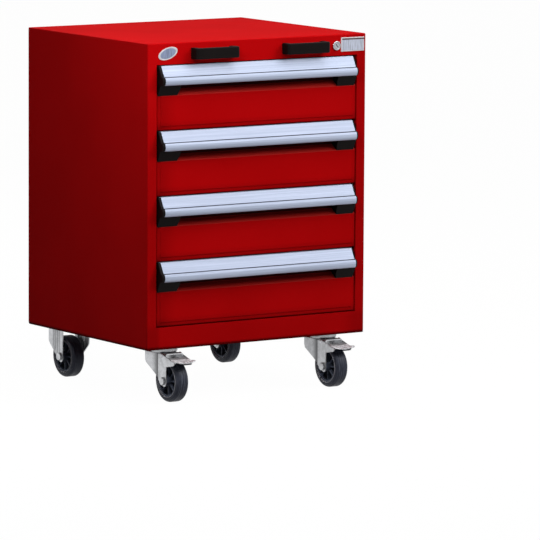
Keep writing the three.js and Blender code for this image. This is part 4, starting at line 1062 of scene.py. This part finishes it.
def bracket_leg(side):
    """A pressed leg over y and height, whose ribs stand out as raised cosines of y and fade
    toward its lower and upper edges."""
    y = np.concatenate([leg_front(-LEG_END), np.linspace(1, BRACKET_REACH, 64)])
    low = leg_low(y, BRACKET_REACH, BRACKET_SHOULDER, -LEG_END)[:, None]
    top = PAN_BOTTOM - SEAT_GAP
    z = low + (top - low) * np.linspace(0, 1, 24)
    fade = eased((z - low - FLUTE_START) / FLUTE_RISE) * eased((top - FLUTE_STOP - z) / FLUTE_FALL)
    x = LEG_OUTER + BRACKET_RIB * flutes(y)[:, None] * fade
    return sheet(np.stack([side * x, np.broadcast_to(-side * y[:, None], x.shape), z], -1))


def leg_shade(side):
    """Shade between a bracket leg's ribs, from behind its front edge to past the last rib."""
    def share(x, y, z):
        along = -side * y
        ends = eased(along / FLUTE_SHADE_RUN) * eased((FLUTES_END - along) / FLUTE_SHADE_RUN)
        return FLUTE_SHADE * (1 - flutes(along)) * ends * (side * x > LEG_OUTER - 1)

    return share


def bracket_plate():
    """The slanted plate that joins the two legs."""
    top, half = PAN_BOTTOM - SEAT_GAP, LEG_OUTER - PLATE_NARROWER
    outline = rounded([[-half, BRACKET_REACH], [-half, -LEG_END], [half, -BRACKET_REACH],
                       [half, LEG_END]], PLATE_CORNER, 5)
    return prism(outline, top - FORK_SHEET, top, "Z", PLATE_EDGE)


def pedal_edge(ahead, start, straight, curved):
    """An edge's height: its start, one change in a straight line and others eased."""
    height, begin, run = straight
    level = start + height * np.clip((ahead - begin) / run, 0, 1)
    return level + sum(rise * eased((ahead - begin) / run) for rise, begin, run in curved)


def pedal_levels(y):
    """The pedal's upper edge, which slopes down from the pivot and flattens to its tip, and the
    lower edge of its arms, which dips beside the tyre; both are round at the pivot."""
    high = pedal_edge(-y, PIVOT_Z + PEDAL_TAIL, TOP_STRAIGHT, TOP_CURVED)
    low = pedal_edge(-y, PIVOT_Z - PEDAL_TAIL, FOOT_STRAIGHT, FOOT_CURVED)
    tail = 1 - np.sqrt(1 - np.clip((y - PIVOT_Y) / PEDAL_TAIL_RUN, 0, 1) ** 2)
    middle = (high + low) / 2
    return high + (middle - high) * tail, low + (middle - low) * tail


def pedal_channel():
    """The pedal: an upturned U along y whose arms lie outside the fork's legs; its dished top
    spans only the tread, between the brake shoe and the foot lip."""
    y = -np.concatenate([np.linspace(*row) for row in PEDAL_PLACES])
    high, low = pedal_levels(y)
    narrower, start, run = PEDAL_NARROWS
    half = PEDAL_ARM - narrower * eased((-y - start) / run)
    grid = upturned_u(y, half, low, high, PEDAL_FOLD, 6, 8, PEDAL_DISH)
    cells = np.ones((grid.shape[0] - 1, grid.shape[1] - 1), bool)
    cells[(y[:-1] > -TREAD_START) | (y[:-1] <= -TREAD_END), 8:-8] = False
    return sheet(grid, cells)


# Where the pedal channel takes the streaked tread colour: wear with a painted highlight
def tread_wear_and_highlight(x, y, z):
    return (np.abs(x) < PEDAL_ARM - WEAR_HIGHLIGHT_IN) | (z > pedal_levels(y)[0] - WEAR_HIGHLIGHT_DOWN)


def tread_shade(x, y, z):
    start, rise, end, fall = TREAD_SHADE_ENDS
    near_top = z > pedal_levels(y)[0] - TREAD_SHADE_DOWN
    inside = near_top * (np.abs(x) < PEDAL_ARM - TREAD_SHADE_IN)
    return TREAD_SHADE * inside * eased((-y - start) / rise) * eased((end + y) / fall)


def pedal_lip():
    """The foot lip from under the channel's tip: a strip that widens past the arms and rounds
    off to its front, and sags more in the middle the nearer it is to its tip."""
    place = np.concatenate([np.linspace(0, PEDAL_LIP_EVEN, 10),
                            1 - (1 - PEDAL_LIP_EVEN) * np.cos(quarter(12))[1:]])
    y = -PEDAL_LIP_REAR - place * (PEDAL_LIP_TIP - PEDAL_LIP_REAR)
    (wider, widens, run), (drawn_in, rounds, share) = PEDAL_LIP_WIDENS, PEDAL_LIP_ROUNDS
    tip = share * np.clip((place - rounds) / (1 - rounds), 0, 1)
    half = PEDAL_LIP_HALF - wider * (1 - eased((place - widens) / run))
    half = half - drawn_in * (1 - np.sqrt(1 - tip ** 2))
    across = np.linspace(-1, 1, 21)
    level = pedal_levels(np.array([-PEDAL_LIP_REAR]))[0] - PEDAL_SHEET - PEDAL_LIP_GAP
    level = level - PEDAL_LIP_FALL * eased(place)
    sag = PEDAL_DISH + (PEDAL_LIP_SAG - PEDAL_DISH) * eased(place)
    z = level[:, None] - sag[:, None] * (1 - across ** 2)
    return sheet(np.stack([half[:, None] * across, np.broadcast_to(y[:, None], z.shape), z], -1))


def pedal_shoe():
    """The shoe, whose lower edge is the tyre's circle turned back about the pivot by the brake's
    full swing, and the pivot pins in the arms."""
    cos, sin = math.cos(BRAKE_SWING), math.sin(BRAKE_SWING)
    across, down = PIVOT_Y + TRAIL, PIVOT_Z - AXLE_HEIGHT
    middle_y = PIVOT_Y - across * cos - down * sin
    middle_z = PIVOT_Z + across * sin - down * cos
    y = -TRAIL - LEG_END - SHOE_GAP - np.linspace(0, SHOE_LENGTH, 12)
    low = middle_z + np.sqrt((TYRE_RADIUS + SHOE_CLEAR) ** 2 - (y - middle_y) ** 2)
    top = pedal_levels(y)[0] - PEDAL_SHEET - PEDAL_DISH + SHOE_SINK
    outline = np.vstack([np.stack([y, low], 1), np.stack([y, top], 1)[::-1]])
    start = LEG_INNER + SEAT_GAP - PEDAL_ARM
    profile = np.array([[0, start], [PIN_ROWS[0][0], start], *PIN_ROWS]) + [0, PEDAL_ARM]
    pins = [shifted(turned(profile * [1, side], 36, "X"), 0, PIVOT_Y, PIVOT_Z)
            for side in SIDES.values()]
    return [prism(outline, -SHOE_HALF, SHOE_HALF, "X", PEDAL_EDGE), *pins]


def make_wheel(name, carried, at):
    outside = TYRE_HALF - BEAD_LINE_DEPTH
    make_piece(f"{name}_tread", [tyre()], TYRE, f"{name}_wheel", f"{name}_tyre", at, marks={
        "bead": lambda x, y, z: (np.hypot(y, z) < BEAD_LINE) * (np.abs(x) > outside)})
    # The hub's ribs take a painted highlight, rising away from the web
    make_piece(f"{name}_wheel_centre", [wheel_hub()], NYLON, f"{name}_wheel", f"{name}_hub", at,
               marks={"rib": lambda x, y, z: (np.abs(x) - RIB_HIGHLIGHT_START) / RIB_HIGHLIGHT_RUN})
    # Painted shade on the washers' rims and the hexagons' corners outside the legs
    make_piece(f"{name}_bolt", axle(), ZINC, carried, f"{name}_axle", at, marks={
        "painted_zinc_shade": lambda x, y, z: (BOLT_SHADE * (np.hypot(y, z) > BOLT_SHADE_RADIUS)
                                   * (np.abs(x) > LEG_OUTER))})


def make_swivel_parts(name, at):
    pedal, replaced = f"{name}_pedal", f"{name}_brake_pedal"
    make_piece(f"{name}_pressed_fork", [swivel_fork()], ZINC, f"{name}_fork", f"{name}_fork", at,
               FORK_SHEET, LEG_EDGE, {"painted_zinc_shade": fork_shade})
    # The swivel head's whole colour takes a little painted shade
    make_piece(f"{name}_head_ring", swivel_head(), ZINC, "root", f"{name}_swivel_head", at,
               marks={"painted_zinc_shade": lambda x, y, z: HEAD_SHADE})
    make_piece(f"{pedal}_channel", [pedal_channel()], ZINC, pedal, replaced, at, PEDAL_SHEET,
               PEDAL_EDGE, {"tread": tread_wear_and_highlight, "painted_zinc_shade": tread_shade})
    # The whole lip takes the streaked tread colour: wear with a painted highlight
    make_piece(f"{pedal}_lip", [pedal_lip()], ZINC, pedal, replaced, at, PEDAL_SHEET, PEDAL_EDGE,
               {"tread": lambda x, y, z: 1.0})
    make_piece(f"{pedal}_shoe", pedal_shoe(), ZINC, pedal, replaced, at,
               marks={"painted_zinc_shade": lambda x, y, z: SHOE_SHADE * (np.abs(x) < SHOE_SHADE_HALF)})


def make_rigid_parts(name, at):
    for word, side in SIDES.items():
        make_piece(f"{name}_leg_{word}", [bracket_leg(side)], ZINC, "root", f"{name}_bracket", at,
                   FORK_SHEET, LEG_EDGE, {"painted_zinc_shade": leg_shade(side)})
    make_piece(f"{name}_leg_plate", [bracket_plate()], ZINC, "root", f"{name}_bracket", at)


# Carried-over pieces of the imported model

def dress(node, finish, edge=0.0):
    """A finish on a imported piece; with an edge, its loose triangles are welded and its corners
    take a small round."""
    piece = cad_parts[node]
    piece.data.materials.clear()
    piece.data.materials.append(finish[0])
    if edge:
        piece.modifiers.new("weld", "WELD").merge_threshold = 1e-6
        bevel_edges(piece, edge, *HOUSING_BEVEL).harden_normals = True


dress("housing_shell", HOUSING_PAINT, edge=HOUSING_EDGE)
for node in ("base_pan", "caster_channel_front", "caster_channel_rear"):
    dress(node, PAINT)
for node in ("runner_rack_left", "runner_rack_right", "lock_bar"):
    dress(node, RUNNER_STEEL)
for number in range(1, DRAWERS + 1):
    dress(f"drawer_{number}_box", PAINT)
    for word in SIDES:
        dress(f"drawer_{number}_carriage_{word}", RUNNER_STEEL)
    make_drawer(number)
make_rail_pieces()
make_sheet_trim()
for word, side in SIDES.items():
    name, x, y = f"caster_front_{word}", side * CASTER_X, -CASTER_Y
    make_wheel(name, f"{name}_fork", (x, y - TRAIL, AXLE_HEIGHT))
    make_swivel_parts(name, (x, y, 0))
for word, side in SIDES.items():
    name, x, y = f"caster_rear_{word}", side * CASTER_X, CASTER_Y
    make_wheel(name, "root", (x, y, AXLE_HEIGHT))
    make_rigid_parts(name, (x, y, 0))


# Floor, world, lights and camera

def make_floor():
    """A pale floor: shown as white, with a share of its lit surface that keeps the shadow."""
    points = [(x * FLOOR_HALF, y * FLOOR_HALF, 0) for x, y in ((-1, -1), (1, -1), (1, 1), (-1, 1))]
    mesh = bpy.data.meshes.new("studio_floor")
    mesh.from_pydata(points, [], [(0, 1, 2, 3)])
    floor = placed("studio_floor", mesh)
    finish = Finish("pale_floor", Specular_IOR_Level=0.0)
    finish.wear(finish.mix(finish.noise(3, 2), (0.15, 0.15, 0.15), (0.17, 0.17, 0.17)), 0.9)
    glow = finish.node("ShaderNodeEmission", {}, {"Strength": WHITE_STRENGTH})
    lit = Value(finish, finish.shader.outputs[0])
    share = finish.shown() * WHITE_SHARE
    blend = finish.node("ShaderNodeMixShader", {}, {0: share, 1: lit, 2: glow})
    finish.feed(finish.output, {"Surface": blend})
    mesh.materials.append(finish.material)


def make_world():
    """White where it is shown, and a faint even light on everything else."""
    world = bpy.data.worlds.new("studio")
    nodes = Nodes(world, "ShaderNodeOutputWorld")
    strength = nodes.shown() * (1.0 - AMBIENT) + AMBIENT
    background = nodes.node("ShaderNodeBackground", {}, {"Color": (1, 1, 1), "Strength": strength})
    nodes.feed(nodes.output, {"Surface": background})
    bpy.context.scene.world = world


def soft_lamp(name, place, target, size, power):
    lamp = bpy.data.lights.new(name, "AREA")
    lamp.shape, lamp.size, lamp.energy = "SQUARE", size, power
    holder = placed(name, lamp)
    holder.location = place
    holder.rotation_euler = (Vector(target) - Vector(place)).to_track_quat("-Z", "Y").to_euler()


def make_camera():
    """The photograph's viewpoint, from a fit to the housing's corners."""
    azimuth, elevation, roll = (math.radians(turn) for turn in CAMERA_TURNS)
    out = math.cos(elevation)
    back = Vector((math.sin(azimuth) * out, -math.cos(azimuth) * out, math.sin(elevation)))
    level = Vector((math.cos(azimuth), math.sin(azimuth), 0))
    upright = back.cross(level)
    right = math.cos(roll) * level + math.sin(roll) * upright
    up = math.cos(roll) * upright - math.sin(roll) * level
    middle = Vector((0, FRAME_SHIFT[1] * MM, (HOUSING_BOTTOM + HOUSING_TOP) / 2 * MM))
    place = middle + right * CAMERA_RIGHT + up * CAMERA_UP + back * CAMERA_BACK
    data = bpy.data.cameras.new("photograph_camera")
    data.sensor_width, data.lens = SENSOR_WIDTH, LENS
    data.clip_start, data.clip_end = CLIP_START, CLIP_END
    camera = placed("photograph_camera", data)
    rows = [(right[i], up[i], back[i], place[i]) for i in range(3)]
    camera.matrix_world = Matrix([*rows, (0, 0, 0, 1)])
    bpy.context.scene.camera = camera


make_floor()
make_world()
for name, lamp in LAMPS.items():
    soft_lamp(name, *lamp)
make_camera()
bpy.context.scene.view_settings.view_transform = "Standard"
